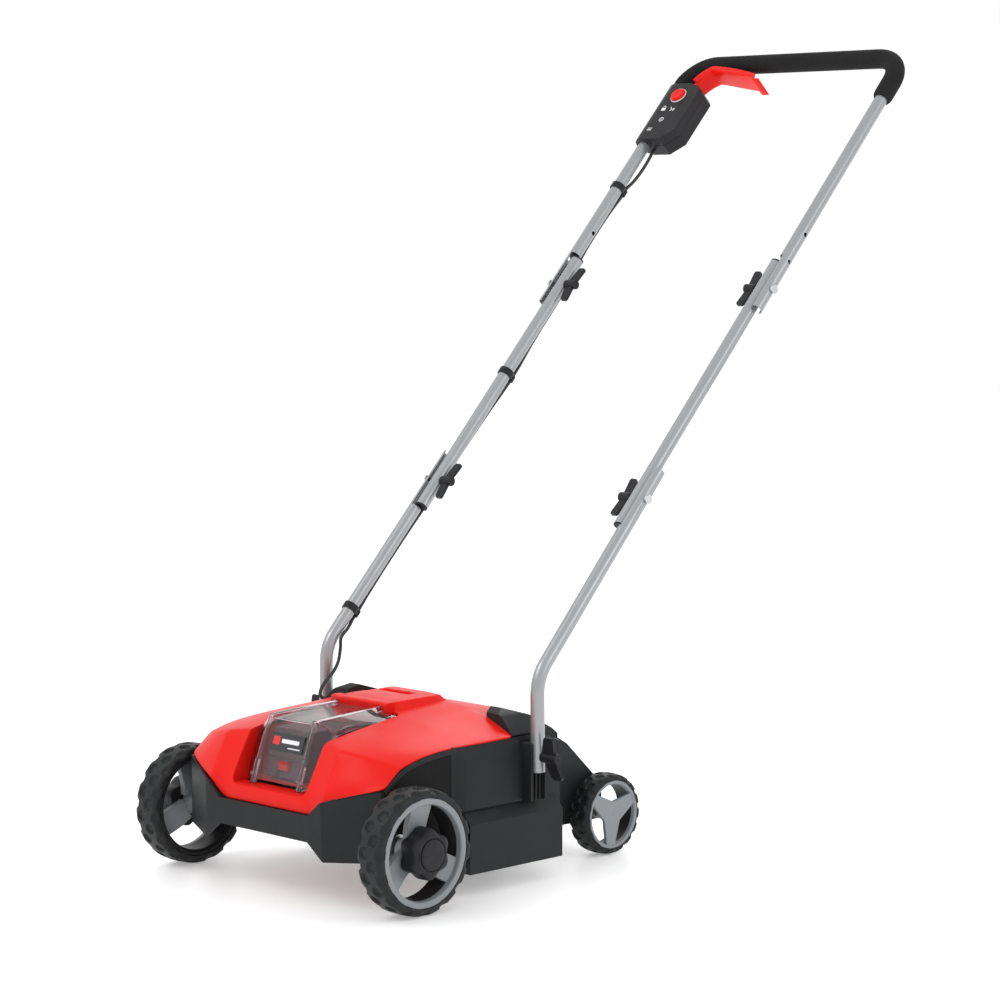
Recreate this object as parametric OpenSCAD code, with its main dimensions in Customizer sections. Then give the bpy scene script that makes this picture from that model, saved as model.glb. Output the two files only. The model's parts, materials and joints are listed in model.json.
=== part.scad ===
// Walk-behind cordless lawn scarifier (vertical mower) with a folding tube handle.
// Millimetres. +Z is up, the nose faces -Y, the handle rises towards +Y, +X is the belt side.
// The origin is under the middle of the whole machine, on the ground.

/* [Wheels] */
// Outside diameter of the front tyres
front_wheel_d = 164; // [150:1:180]
// Outside diameter of the rear tyres
rear_wheel_d = 113; // [104:1:120]
// Distance from the front axle to the rear axle
wheelbase = 442; // [425:1:460]
// Distance from the middle plane to the outer face of a front tyre
front_face_x = 246; // [243:1:250]
// Distance from the middle plane to the outer face of a rear tyre
rear_face_x = 157; // [155:1:165]
// Width of a front tyre
front_tyre_w = 44; // [38:1:45]
// Width of a rear tyre
rear_tyre_w = 36; // [30:1:38]
// Crank of the front axle stubs, which sets the working depth
depth_throw = 8; // [5:1:9]

/* [Handle] */
// Outside diameter of the handle tubes
tube_d = 19; // [16:0.5:20]
// Wall of the handle tubes
tube_wall = 1.2; // [1:0.1:1.5]
// Slope of the handle above the horizontal
handle_slope = 47.2; // [44:0.2:50]
// Length from the bend of a lower tube to the lower fold bolt
lower_leg = 304; // [280:1:330]
// Distance between the two fold bolts
middle_leg = 382; // [350:1:400]
// Distance from the upper fold bolt to the grip bar
upper_leg = 457; // [457:1:470]
// Diameter of the foam grip
foam_d = 29; // [26:1:32]
// Diameter of the switch cable
cable_d = 5; // [4:0.5:6]

/* [Body] */
// Half width of the housing
body_half_w = 190; // [189:1:191]
// Wall of the moulded covers
shell = 3; // [2.5:0.5:3.5]
// Radius of the knife circle
knife_r = 62; // [56:1:64]
// Height of the knife shaft above the ground
reel_z = 72; // [70:1:75]
// Number of knives on the shaft
knife_count = 16; // [12:1:18]

/* [Hidden] */
$fn = 48;
eps = 1;                 // overshoot of a cutting solid
run = 0.1;               // radial running clearance
gap = 0.3;               // clearance between faces that pass each other
left = -1;
right = 1;

front_r = front_wheel_d / 2;
rear_r = rear_wheel_d / 2;
tube_r = tube_d / 2;
foam_r = foam_d / 2;
cable_r = cable_d / 2;

// Handle points in the plane of a side, as [y, z] with the front axle at y = 0
slope_y = cos(handle_slope);
slope_z = sin(handle_slope);
tube_y = 236;            // lower tube's upright part
bend_z = 277;            // where its two straight parts would meet
bend_r = 60;
tube_foot_z = 151;
base_bolt_z = 172;
fold_low = [tube_y + lower_leg * slope_y, bend_z + lower_leg * slope_z];
fold_high = [fold_low[0] + middle_leg * slope_y, fold_low[1] + middle_leg * slope_z];
bar = [fold_high[0] + upper_leg * slope_y, fold_high[1] + upper_leg * slope_z];
mid_y = (bar[0] + foam_r - front_r) / 2;

middle_x = 196.5;        // middle tubes
lower_x = middle_x + tube_r + 0.9;   // lower tubes at the fold bolt
upper_x = 208;           // legs of the upper handle
lean = 0.75;             // the lower tubes spread towards the housing
nest_low = 52;           // crushed length below the lower fold bolt
nest_high = 49;
nest_down = 38;          // crushed length below the upper fold bolt
nest_up = 58;
base_x = lower_x + tan(lean) * (fold_low[1] - base_bolt_z);

fold_tip_x = middle_x - tube_r - gap - 15;   // ends of the fold bolts, inside their nuts
bolt_r = 3;
head_r = 6.5;
head_h = 3;

reel_y = 203;
motor_y = 165;
motor_z = 172;
motor_r = 27;
reel_pulley_r = 30;
motor_pulley_r = 13;
belt_x = 173;
belt_w = 12;
side_x = 163;            // inner side plates of the knife chamber
side_t = 3;
chute_x = 112;
flap_y = 322;
flap_z = 194;
flap_x = 105;
board_z = 190;
cover_pin_y = 113;
cover_pin_z = 235;
axle_r = 5;
stub_r = 6;

red = "red";
black = [0.13, 0.13, 0.14];
grey = [0.62, 0.64, 0.66];
steel = [0.72, 0.73, 0.75];
smoke = [0.85, 0.7, 0.72, 0.4];

// ---- placing ----

module place() translate([0, -mid_y, 0]) children();
module at(x, y, z) translate([x, y - mid_y, z]) children();
// Local Z along the handle slope, local -Y towards its front side, origin at point p
module on_slope(p, x = 0, s = 0) at(x, p[0], p[1]) rotate([handle_slope - 90, 0, 0]) translate([0, 0, s]) children();
// Local Z points to the side given, for bolts, axles and wheels
module sideways(side) rotate([0, 90 * side, 0]) children();
module side_profile(points, x, t) translate([x, 0, 0]) rotate([90, 0, 90]) linear_extrude(t) polygon(points);
module mirrored() {
    children();
    mirror([1, 0, 0]) children();
}

// ---- general pieces ----

module ring(r_out, r_in, h) difference() {
    cylinder(h = h, r = r_out);
    translate([0, 0, -eps]) cylinder(h = h + 2 * eps, r = r_in);
}

module pipe(l) ring(tube_r, tube_r - tube_wall, l);

// Outer half of a tube, whose inner half is pressed away so that it can lie against another tube
module half_pipe(l, side) difference() {
    pipe(l);
    translate([side > 0 ? -tube_d : 0, -tube_d, -eps]) cube([tube_d, 2 * tube_d, l + 2 * eps]);
}

module bolt(shank) {
    cylinder(h = shank, r = bolt_r);
    translate([0, 0, -head_h]) cylinder(h = head_h, r = head_r);
}

// Two-bladed nut: local Z leads away from the clamped face
module wing_nut(hub_h) {
    hub_r = 7;
    span = 31;
    blade_t = 5;
    difference() {
        cylinder(h = hub_h, r = hub_r);
        translate([0, 0, -eps]) cylinder(h = hub_h - 3 + eps, r = bolt_r + run);
    }
    for (turn = [0, 180]) rotate([0, 0, turn]) translate([0, blade_t / 2, 0]) rotate([90, 0, 0])
        linear_extrude(blade_t) polygon([[hub_r - 1, 3], [13, 4], [span - 4, hub_h * 0.36], [span, hub_h * 0.46],
            [span, hub_h * 0.93], [span - 3, hub_h], [hub_r - 1, hub_h * 0.85]]);
}

// Sweep of a round section along points; the section stays level in X
function unit(v) = v / norm(v);
function heading(p, i) = unit(p[min(i + 1, len(p) - 1)] - p[max(i - 1, 0)]);
function across(d) = unit(cross(d, abs(d[0]) > 0.9 ? [0, 0, 1] : [1, 0, 0]));
module cord(p, r, sides = 8) {
    n = len(p);
    rings = [for (i = [0 : n - 1]) let (d = heading(p, i), u = across(d), v = cross(d, u))
        for (k = [0 : sides - 1]) p[i] + r * (u * cos(360 * k / sides) + v * sin(360 * k / sides))];
    skin = [for (i = [0 : n - 2]) for (k = [0 : sides - 1]) let (a = i * sides + k, b = i * sides + (k + 1) % sides)
        [a, b, b + sides, a + sides]];
    foot = [for (k = [sides - 1 : -1 : 0]) k];
    tip = [for (k = [0 : sides - 1]) (n - 1) * sides + k];
    polyhedron(points = rings, faces = concat([foot], skin, [tip]));
}

// ---- housing ----

hood_side = [[-54, 117], [-53, 137], [-30, 186], [-16, 199], [60, 217], [118, 226], [124, 238],
    [214, 238], [226, 232], [318, 208], [318, 200], [262, 199], [80, 196], [44, 192.5], [8, 181.5],
    [-32, 159.5], [-46, 117]];
hood_side_in = [[-51, 100], [-50, 137], [-27, 185], [-14, 196], [60, 214], [118, 223], [126, 235],
    [213, 235], [225, 229], [315, 205], [315, 100]];
hood_front = [[-88, 116], [-112, 137], [-190, 157], [-190, 197], [-150, 214], [-130, 224], [-60, 240],
    [60, 240], [130, 224], [150, 214], [190, 197], [190, 157], [112, 137], [88, 116]];
hood_front_in = [[-187, 100], [-187, 195], [-149, 211], [-129, 221], [-60, 237], [60, 237],
    [129, 221], [149, 211], [187, 195], [187, 100]];
hood_plan = [[-90, -54], [90, -54], [184, -28], [190, -18], [190, 209], [136, 212], [110, 262],
    [110, 318], [-110, 318], [-110, 262], [-136, 212], [-190, 209], [-190, -18], [-184, -28]];
hood_plan_in = [[-89, -51], [89, -51], [182, -25.5], [187, -17], [187, 206], [134, 209], [107, 261],
    [107, 315], [-107, 315], [-107, 261], [-134, 209], [-187, 206], [-187, -17], [-182, -25.5]];

module block_of(side_view, front_view, plan_view) intersection() {
    side_profile(side_view, -200, 400);
    rotate([90, 0, 0]) translate([0, 0, -400]) linear_extrude(800) polygon(front_view);
    linear_extrude(300) polygon(plan_view);
}

bay_x = 76;
bay_y = [-34, 118];
bay_sill_z = 137.5;
screw_x = 172;
screw_y = [45, 125];
screw_z = 183;

module hood() color(red) place() difference() {
    union() {
        difference() {
            block_of(hood_side, hood_front, hood_plan);
            block_of(hood_side_in, hood_front_in, hood_plan_in);
        }
        mirrored() for (y = screw_y) translate([screw_x, y, screw_z + 3.1]) cylinder(h = 17, r = 5);
    }
    translate([-bay_x, -80, bay_sill_z]) cube([2 * bay_x, bay_y[1] + 80, 120]);
    mirrored() for (y = screw_y) translate([screw_x, y, screw_z]) cylinder(h = 15, r = 2);
    // finger pocket behind the battery cover
    translate([-40, 178, 226]) cube([62, 16, 30]);
}

// Plan of the front apron, outside and inside
apron_out = [[-190, 60], [-190, -26], [-116, -62], [116, -62], [190, -26], [190, 60]];
apron_in = [[-186, 61], [-186, -23], [-115, -58], [115, -58], [186, -23], [186, 61]];
apron_front = [[-190, 64], [-118, 60], [-88, 82], [88, 82], [118, 60], [190, 64], [190, 156.5],
    [112, 136.5], [88, 116.5], [-88, 116.5], [-112, 136.5], [-190, 156.5]];
side_wall = [[-20, 63], [-20, 150], [8, 180.5], [44, 191.5], [80, 195.5], [262, 198], [300, 181],
    [300, 42], [110, 42]];
chute_wall = [[296, 45], [296, 198], [322, 198], [390, 158], [446, 106], [460, 82], [460, 44]];
holder_x = body_half_w;
holder_z = 113;

module apron() intersection() {
    difference() {
        linear_extrude(200) polygon(apron_out);
        translate([0, 0, -eps]) linear_extrude(200 + 2 * eps) polygon(apron_in);
    }
    rotate([90, 0, 0]) translate([0, 0, -20]) linear_extrude(100) polygon(apron_front);
}

// Upright channel that holds the foot of a handle tube
module tube_holder() {
    back = base_x - tube_r - gap - holder_x;
    difference() {
        union() {
            translate([holder_x - 2, 221, holder_z]) cube([back + 2, 30, 190 - holder_z]);
            for (y = [221, 247.5]) translate([holder_x, y, holder_z]) cube([base_x + 2 - holder_x, 3.5, 190 - holder_z]);
            for (y = [227.5, 234.5, 241.5]) translate([holder_x, y, holder_z]) cube([back + 7, 3, 149 - holder_z]);
        }
        translate([holder_x - 20, tube_y, base_bolt_z]) sideways(right) cylinder(h = 60, r = bolt_r + 0.05);
    }
}

module chassis_side() {
    difference() {
        union() {
            side_profile(side_wall, body_half_w - 4, 4);
            side_profile([[112, 45], [112, 150], [140, 160], [318, 186], [318, 45]], side_x, side_t);
            side_profile(chute_wall, chute_x, 4);
            tube_holder();
            // boss of the depth crank
            translate([body_half_w - 22, 0, front_r + depth_throw]) sideways(right) cylinder(h = 22, r = 13);
            translate([body_half_w - 22, -12, front_r + depth_throw]) cube([18, 24, 66]);
            // panel that closes the housing behind the handle tubes
            translate([0, 0, 42]) linear_extrude(141) polygon([[190, 296], [190, 300], [116, 334], [112, 330]]);
            // tabs under the hood's screw bosses
            for (y = screw_y) translate([screw_x - 8, y - 8, screw_z]) cube([body_half_w - screw_x + 7, 16, 3]);
        }
        for (y = screw_y) translate([screw_x, y, screw_z - eps]) cylinder(h = 6, r = 2.05);
        translate([side_x - 30, reel_y, reel_z]) sideways(right) cylinder(h = 36, r = 16);
        translate([body_half_w - 20, tube_y, base_bolt_z]) sideways(right) cylinder(h = 30, r = bolt_r + 0.05);
        translate([chute_x - 10, wheelbase, rear_r]) sideways(right) cylinder(h = 30, r = axle_r + 0.05);
        translate([chute_x - 10, flap_y, flap_z - 9]) sideways(right) cylinder(h = 30, r = 2.55);
    }
}

module knife_roof() {
    roof_r = knife_r + 8;
    difference() {
        translate([-side_x, reel_y, reel_z]) sideways(right) ring(roof_r + 3, roof_r, 2 * side_x);
        translate([-side_x - eps, reel_y - 100, reel_z - 110]) cube([2 * side_x + 2 * eps, 200, 90]);
        translate([-side_x - eps, reel_y, reel_z - 100]) cube([2 * side_x + 2 * eps, 100, 200]);
    }
    side_profile([[reel_y, reel_z + roof_r], [316, 182], [316, 185], [reel_y, reel_z + roof_r + 3]], -side_x, 2 * side_x);
    translate([-chute_x, 313, 184]) cube([2 * chute_x, 3, 14]);
    for (p = [[232, 153.5], [280, 170]]) for (x = [-98, -36]) translate([x, p[0], p[1]]) cylinder(h = board_z - p[1], r = 3);
    side_profile([[112, 48], [134, 48], [134, 52], [115, 52], [115, 120], [112, 120]], -side_x, 2 * side_x);
}

module chassis() color(black) place() difference() {
    union() {
        mirrored() chassis_side();
        apron();
        knife_roof();
    }
    // window behind the belt cover, and the way through for the motor shaft
    translate([body_half_w - 5, 121, 33]) cube([10, 166, 72]);
    translate([side_x - 10, motor_y - motor_pulley_r - 6, motor_z - motor_pulley_r - 6])
        cube([20, 2 * motor_pulley_r + 12, 60]);
    // holes for the depth cranks
    mirrored() translate([body_half_w - 50, 0, front_r + depth_throw]) sideways(right) cylinder(h = 60, r = 7.1);
    // the roof gives way to the ends of the shaft
    translate([-side_x - 10, reel_y, reel_z]) sideways(right) cylinder(h = 2 * side_x + 20, r = 15.9);
}

module battery_bay() color([0.6, 0.03, 0.03]) place() {
    wall_x = bay_x - gap;
    difference() {
        translate([-wall_x, bay_y[0], 144]) cube([2 * wall_x, bay_y[1] - bay_y[0] - gap, 62]);
        translate([-wall_x + 2.5, bay_y[0] - eps, 147]) cube([2 * wall_x - 5, bay_y[1] - bay_y[0] - 2 + eps - gap, 100]);
        // the front of the tub follows the cover, in the side view and in plan
        translate([-100, bay_y[0] - 30, 150]) rotate([-20, 0, 0]) cube([200, 30, 100]);
        for (side = [left, right]) linear_extrude(300) polygon([[side * 43, -35], [side * 80, -35], [side * 80, -2]]);
    }
    // rails under the pack, and the terminal block behind it
    for (x = [-30, 24]) translate([x, -26, 146.8]) cube([6, 118, 1]);
    translate([-24, 101, 146.8]) cube([48, 15, 43]);
    // lugs of the cover's hinge pin
    for (x = [-54, 48]) difference() {
        union() {
            translate([x, cover_pin_y, cover_pin_z]) sideways(right) cylinder(h = 6, r = 4);
            translate([x, cover_pin_y, 200]) cube([6, 4, cover_pin_z - 200]);
        }
        translate([x - eps, cover_pin_y, cover_pin_z]) sideways(right) cylinder(h = 8, r = 2.05);
    }
}

// Black shoulders beside the hood, with a sloping top towards the handle tubes
module shoulder(side_view, front_view, plan_view) intersection() {
    side_profile(side_view, 100, 100);
    rotate([90, 0, 0]) translate([0, 0, -400]) linear_extrude(800) polygon(front_view);
    linear_extrude(300) polygon(plan_view);
}

module rear_trim() color(black) place() mirrored() difference() {
    shoulder([[209.5, 199], [209.5, 224], [228, 231], [262, 220], [300, 190], [300, 184], [262, 199.5]],
        [[117, 183], [117, 232], [150, 231], [168, 222], [190, 201], [190, 183]],
        [[138, 213], [189.5, 209.5], [189.5, 296], [180, 300], [117, 300], [117, 252]]);
    shoulder([[212.5, 190], [212.5, 221], [228, 228], [261, 217], [300, 187], [300, 170]],
        [[120, 160], [120, 229], [149, 228], [166, 219], [186.5, 200], [186.5, 160]],
        [[141, 216], [186.5, 212.5], [186.5, 301], [120, 301], [120, 254]]);
}

module belt_cover() color(black) place() difference() {
    union() {
        rotate([90, 0, 0]) translate([0, 0, -290]) linear_extrude(173)
            polygon([[190.2, 29], [205, 29], [205, 95], [190.2, 112]]);
        translate([187, 121.5, 33.5]) cube([5, 165, 71]);
    }
    rotate([90, 0, 0]) translate([0, 0, -284]) linear_extrude(160)
        polygon([[180, 36], [202, 36], [202, 93], [192, 102], [180, 102]]);
}

module battery_pack() color([0.16, 0.16, 0.17]) place() difference() {
    side_profile([[-25, 148], [-5, 212], [96, 212], [96, 148]], -38, 76);
    translate([-11, -30, 158]) cube([22, 14, 14]);
}

module battery_latch() color(red) at(-10, -26, 159) cube([20, 7, 12]);

module control_board() color([0.1, 0.35, 0.2]) place() {
    translate([-103, 226, 190]) cube([73, 60, 1.6]);
    translate([-101, 230, 191.6]) cube([17, 26, 8]);
    for (x = [-76, -62, -48]) translate([x, 244, 191.6]) cylinder(h = 8, r = 4);
}

module motor() color([0.35, 0.36, 0.38]) at(70, motor_y, motor_z) sideways(right) {
    cylinder(h = 82, r = motor_r);
    translate([0, 0, -8]) cylinder(h = 8, r = 10);
    translate([0, 0, 82]) cylinder(h = 4, r = 9);
}

module motor_bracket() color(steel) place() difference() {
    union() {
        side_profile([[122, 150], [122, 176], [140, 200], [196, 200], [208, 176], [208, 162]], 152.1, 2.4);
        translate([152.1, 122, 150]) cube([side_x - 152.2, 18, 2.4]);
    }
    translate([140, motor_y, motor_z]) sideways(right) cylinder(h = 30, r = 9.05);
}

module motor_pulley() color(steel) at(156.2, motor_y, motor_z) sideways(right) {
    cylinder(h = 29, r = 4);
    translate([0, 0, belt_x - 156.2 - 1.5]) cylinder(h = 1.4, r = motor_pulley_r + 2.5);
    translate([0, 0, belt_x - 156.2]) cylinder(h = belt_w, r = motor_pulley_r);
}

module drive_belt() color(black) at(belt_x + 1, 0, 0) rotate([90, 0, 90])
    linear_extrude(belt_w - 2) difference() {
        hull() {
            translate([reel_y, reel_z]) circle(r = reel_pulley_r + 2.8);
            translate([motor_y, motor_z]) circle(r = motor_pulley_r + 2.8);
        }
        hull() {
            translate([reel_y, reel_z]) circle(r = reel_pulley_r + 0.4);
            translate([motor_y, motor_z]) circle(r = motor_pulley_r + 0.4);
        }
    }

// ---- knife shaft ----

module reel_at(x) at(x, reel_y, reel_z) sideways(right) children();
shaft_r = 8;
knife_pitch = (2 * side_x - 30) / knife_count;

module reel_shaft() color(steel) reel_at(-side_x - 4) cylinder(h = 2 * side_x + 28, r = shaft_r);

module reel_bearings() color(steel) for (x = [-side_x - side_t, side_x - 7]) reel_at(x) ring(15.8, shaft_r + run, 10);

module knife() difference() {
    union() {
        cylinder(h = 2, r = 17);
        for (turn = [0, 90, 180, 270]) rotate([0, 0, turn]) linear_extrude(2)
            polygon([[0, -15], [30, -13], [52, -2], [knife_r, 9], [knife_r - 8, 14], [44, 11], [26, 7], [0, 15]]);
    }
    translate([0, 0, -eps]) cylinder(h = 2 + 2 * eps, r = shaft_r + 0.05);
}

module reel_knives() color(steel) for (i = [0 : knife_count - 1])
    reel_at((i - (knife_count - 1) / 2) * knife_pitch - 1) rotate([0, 0, 24 * i]) knife();

module reel_spacers() color(black) for (i = [0 : knife_count - 2])
    reel_at((i - (knife_count - 1) / 2) * knife_pitch + 1.1) ring(13, shaft_r + 0.05, knife_pitch - 2.2);

module reel_pulley() color(black) reel_at(belt_x) difference() {
    union() {
        cylinder(h = belt_w, r = reel_pulley_r);
        translate([0, 0, belt_w + 0.1]) cylinder(h = 1.4, r = reel_pulley_r + 2.5);
        cylinder(h = belt_w + 1, r = 14);
    }
    translate([0, 0, -eps]) cylinder(h = 20, r = shaft_r + 0.05);
}

// ---- small hardware of the housing ----

module cover_hinge_pin() color(steel) at(-64, cover_pin_y, cover_pin_z) sideways(right) cylinder(h = 128, r = 2);

module flap_rod() color(steel) at(-chute_x - 5, flap_y, flap_z - 9) sideways(right) cylinder(h = 2 * chute_x + 10, r = 2.5);

module rear_axle() color(steel) at(-rear_face_x + 6, wheelbase, rear_r) sideways(right)
    cylinder(h = 2 * (rear_face_x - 6), r = axle_r);

module housing_screws() color(steel) for (x = [-screw_x, screw_x]) for (y = screw_y) at(x, y, screw_z) {
    cylinder(h = 15, r = 2);
    translate([0, 0, -3]) cylinder(h = 3, r = 4);
}

module frame_bolts() color(steel) for (side = [left, right]) {
    at(side * (body_half_w - 4), tube_y, base_bolt_z) sideways(side) bolt(base_x + tube_r + 28 - body_half_w);
    at(side * (lower_x + tube_r + 0.1), fold_low[0], fold_low[1]) sideways(-side)
        bolt(lower_x + tube_r + 0.1 - fold_tip_x);
}

module hinge_bolts() color(steel) for (side = [left, right])
    at(side * (upper_x + tube_r + gap), fold_high[0], fold_high[1]) sideways(-side)
        bolt(upper_x + tube_r + gap - fold_tip_x);

// ---- wheels ----

module wheel_at(side, inner_x, y, z) at(side * inner_x, y, z) sideways(side) children();

module tyre(r, w, bore) rotate_extrude() polygon([[bore, 0], [r - 6, 0], [r - 1.5, 4], [r, 9], [r, w - 9],
    [r - 1.5, w - 4], [r - 6, w], [bore, w]]);

front_bore = 70.8;
rear_bore = 47.8;
front_inner = front_face_x - front_tyre_w;
rear_inner = rear_face_x - rear_tyre_w;

module front_tyre(side) color(black) wheel_at(side, front_inner, 0, front_r) tyre(front_r, front_tyre_w, front_bore);
module rear_tyre(side) color(black) wheel_at(side, rear_inner, wheelbase, rear_r) tyre(rear_r, rear_tyre_w, rear_bore);

// Disc with three openings between its spokes
module spoked_disc(r, t, windows) difference() {
    cylinder(h = t, r = r);
    for (turn = [0, 120, 240]) rotate([0, 0, turn]) translate([0, 0, -eps]) linear_extrude(t + 2 * eps) polygon(windows);
}

front_window = [[17, -12], [47, -36], [58, -18], [61.5, 0], [58, 18], [47, 36], [17, 12]];
rear_window = [[12, -3], [38, -16], [41.5, 0], [38, 16], [12, 3]];

module front_rim(side) color(grey) wheel_at(side, front_inner, 0, front_r) difference() {
    union() {
        translate([0, 0, 1]) ring(front_bore - run, front_bore - 8, front_tyre_w - 1.5);
        translate([0, 0, 16]) spoked_disc(front_bore - 7, 8, front_window);
        cylinder(h = 27, r = 15);
    }
    translate([0, 0, -eps]) cylinder(h = 60, r = stub_r + run);
}

module rear_rim(side) color(grey) wheel_at(side, rear_inner, wheelbase, rear_r) difference() {
    union() {
        translate([0, 0, 1]) ring(rear_bore - run, rear_bore - 6, rear_tyre_w - 1.5);
        translate([0, 0, rear_tyre_w - 6]) rotate([0, 0, 55]) spoked_disc(rear_bore - 5, 4.5, rear_window);
        cylinder(h = rear_tyre_w - 4, r = 9);
    }
    translate([0, 0, -eps]) cylinder(h = rear_tyre_w - 5 + eps, r = axle_r + run);
}

crank_x = body_half_w + gap;
module depth_crank(side) color(steel) {
    wheel_at(side, crank_x, 0, front_r) {
        cylinder(h = 4.5, r = 17);
        cylinder(h = front_face_x - crank_x + 2, r = stub_r);
    }
    wheel_at(side, body_half_w - 24, 0, front_r + depth_throw) {
        cylinder(h = 24 + gap + 4.5, r = 7);
    }
}

module depth_knob(side) color(black) wheel_at(side, front_inner + 27.5, 0, front_r) {
    knob_h = front_face_x + 13 - front_inner - 27.5;
    difference() {
        union() {
            cylinder(h = knob_h, r = 21);
            for (turn = [0 : 60 : 300]) rotate([0, 0, turn]) translate([19.5, 0, 0]) cylinder(h = knob_h, r = 7);
            cylinder(h = knob_h + 2.5, r = 14);
        }
        translate([0, 0, -eps]) cylinder(h = front_face_x + 2.3 - front_inner - 27.5 + eps, r = stub_r + 0.05);
    }
}

// ---- battery cover and flap ----

module cloud(points) hull() for (p = points) translate(p) cube(0.2, center = true);

cover_rim = [[46, -42, 138.3], [70.5, -24, 150], [72, 0, 208], [71, 110, 214]];
cover_top = [[46, -9, 229], [42, 106, 234]];

module battery_cover() color(smoke) place() {
    points = concat(cover_rim, cover_top);
    inside = [for (p = points) [p[0] - 2.6, p[1] + 2.8, p[2] - 2.6]];
    difference() {
        cloud([for (m = [-1, 1]) for (p = points) [m * p[0], p[1], p[2]]]);
        cloud([for (m = [-1, 1]) for (p = inside) for (dz = [0, -60]) [m * p[0], p[1], p[2] + dz]]);
    }
    // ears that turn on the pin
    for (x = [-62, 56.5]) difference() {
        union() {
            translate([x, cover_pin_y, cover_pin_z]) sideways(right) cylinder(h = 5.5, r = 4.4);
            side_profile([[98, 219], [98, 226], [110, 237.5], [113, 230.7], [108, 220]], x, 5.5);
        }
        translate([x - eps, cover_pin_y, cover_pin_z]) sideways(right) cylinder(h = 8, r = 2.1);
    }
}

module rear_flap() color(black) place() {
    end_y = 448;
    end_z = 84;
    difference() {
        union() {
            translate([-flap_x, flap_y, flap_z - 9]) sideways(right) cylinder(h = 2 * flap_x, r = 5);
            side_profile([[flap_y + 3, flap_z - 6], [end_y, end_z + 3], [end_y - 2, end_z], [flap_y, flap_z - 12]],
                -flap_x, 2 * flap_x);
        }
        translate([-flap_x - eps, flap_y, flap_z - 9]) sideways(right) cylinder(h = 2 * flap_x + 2 * eps, r = 2.6);
    }
}

// ---- handle ----

bend_drop = bend_r * tan((90 - handle_slope) / 2);

// One lower tube drawn for the +X side at x = 0, in axle coordinates
module lower_tube_shape() {
    translate([0, fold_low[0], fold_low[1]]) rotate([handle_slope - 90, 0, 0]) {
        translate([0, 0, -nest_low]) half_pipe(nest_low + nest_high, right);
        translate([0, 0, bend_drop - lower_leg]) rotate([0, 0, -90]) pipe(lower_leg - bend_drop - nest_low);
    }
    translate([0, tube_y + bend_r, bend_z - bend_drop]) rotate([90, 0, -90])
        rotate_extrude(angle = 90 - handle_slope) translate([bend_r, 0]) difference() {
            circle(r = tube_r);
            circle(r = tube_r - tube_wall);
        }
    translate([0, tube_y, tube_foot_z]) rotate([0, 0, -90]) pipe(bend_z - bend_drop - tube_foot_z);
}

module lower_tube() color(steel) difference() {
    at(lower_x, fold_low[0], fold_low[1]) rotate([0, -lean, 0]) translate([0, -fold_low[0], -fold_low[1]])
        lower_tube_shape();
    at(150, fold_low[0], fold_low[1]) sideways(right) cylinder(h = 100, r = bolt_r + 0.05);
    at(150, tube_y, base_bolt_z) sideways(right) cylinder(h = 100, r = bolt_r + 0.05);
}

tube_over = 48;
module middle_tube(side) color(steel) difference() {
    on_slope(fold_low, side * middle_x, -tube_over) pipe(middle_leg + 2 * tube_over);
    for (p = [fold_low, fold_high]) at(side * 150, p[0], p[1]) sideways(side) cylinder(h = 100, r = bolt_r + run);
}

module middle_tube_plugs() color(black) for (side = [left, right]) {
    on_slope(fold_low, side * middle_x, -tube_over) {
        translate([0, 0, -2]) cylinder(h = 1.9, r = tube_r);
        translate([0, 0, -2]) cylinder(h = 14, r = tube_r - tube_wall - 0.1);
    }
    on_slope(fold_high, side * middle_x, tube_over) {
        translate([0, 0, 0.1]) cylinder(h = 1.9, r = tube_r);
        translate([0, 0, -12]) cylinder(h = 14, r = tube_r - tube_wall - 0.1);
    }
}

corner_r = 50;
butt = 0.02;             // gap where the straight and the bent lengths of the bar meet
leg_top = upper_leg - corner_r;

// Path of the U-shaped bar in the plane of the handle: a corner, drawn for the +X side
module bar_corner(r_out, r_in) on_slope(fold_high, upper_x - corner_r, leg_top) rotate([90, 0, 0])
    rotate_extrude(angle = 90) translate([corner_r, 0]) difference() {
        circle(r = r_out);
        circle(r = r_in);
    }

module bar_straight() on_slope(fold_high, upper_x - corner_r, upper_leg) rotate([0, -90, 0]) children();

module upper_handle() color(steel) difference() {
    union() {
        mirrored() {
            on_slope(fold_high, upper_x, -nest_down) half_pipe(nest_down + nest_up, right);
            on_slope(fold_high, upper_x, nest_up) pipe(leg_top - nest_up - butt);
            bar_corner(tube_r, tube_r - tube_wall);
        }
        bar_straight() translate([0, 0, butt]) pipe(2 * (upper_x - corner_r - butt));
    }
    for (side = [left, right]) {
        at(side * 150, fold_high[0], fold_high[1]) sideways(side) cylinder(h = 100, r = bolt_r + run);
        for (s = [52, 104]) on_slope(fold_high, side * 150, s) sideways(side) cylinder(h = 100, r = 3.2);
    }
}

foam_low = 372;          // lower end of the foam on the free leg, from the upper fold bolt
box_top = 406;
module foam_grip() color([0.1, 0.1, 0.1]) {
    mirrored() bar_corner(foam_r, tube_r + run);
    on_slope(fold_high, upper_x, foam_low) ring(foam_r, tube_r + run, leg_top - foam_low - butt);
    if (leg_top > box_top + 2) mirror([1, 0, 0]) on_slope(fold_high, upper_x, box_top + 1)
        ring(foam_r, tube_r + run, leg_top - box_top - 1 - butt);
    bar_straight() translate([0, 0, butt]) ring(foam_r, tube_r + run, 2 * (upper_x - corner_r - butt));
}

// Outline of the switch box in the handle plane, as [x, distance above the upper fold bolt]
box_outline = [[-230, 287], [-168, 287], [-147.5, 307], [-147.5, 391], [-156, 400], [-178, 406], [-230, 406]];
box_outline_in = [[-230, 289.5], [-169, 289.5], [-150, 308], [-150, 390], [-157, 397.6], [-178.5, 403.5], [-230, 403.5]];
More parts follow.
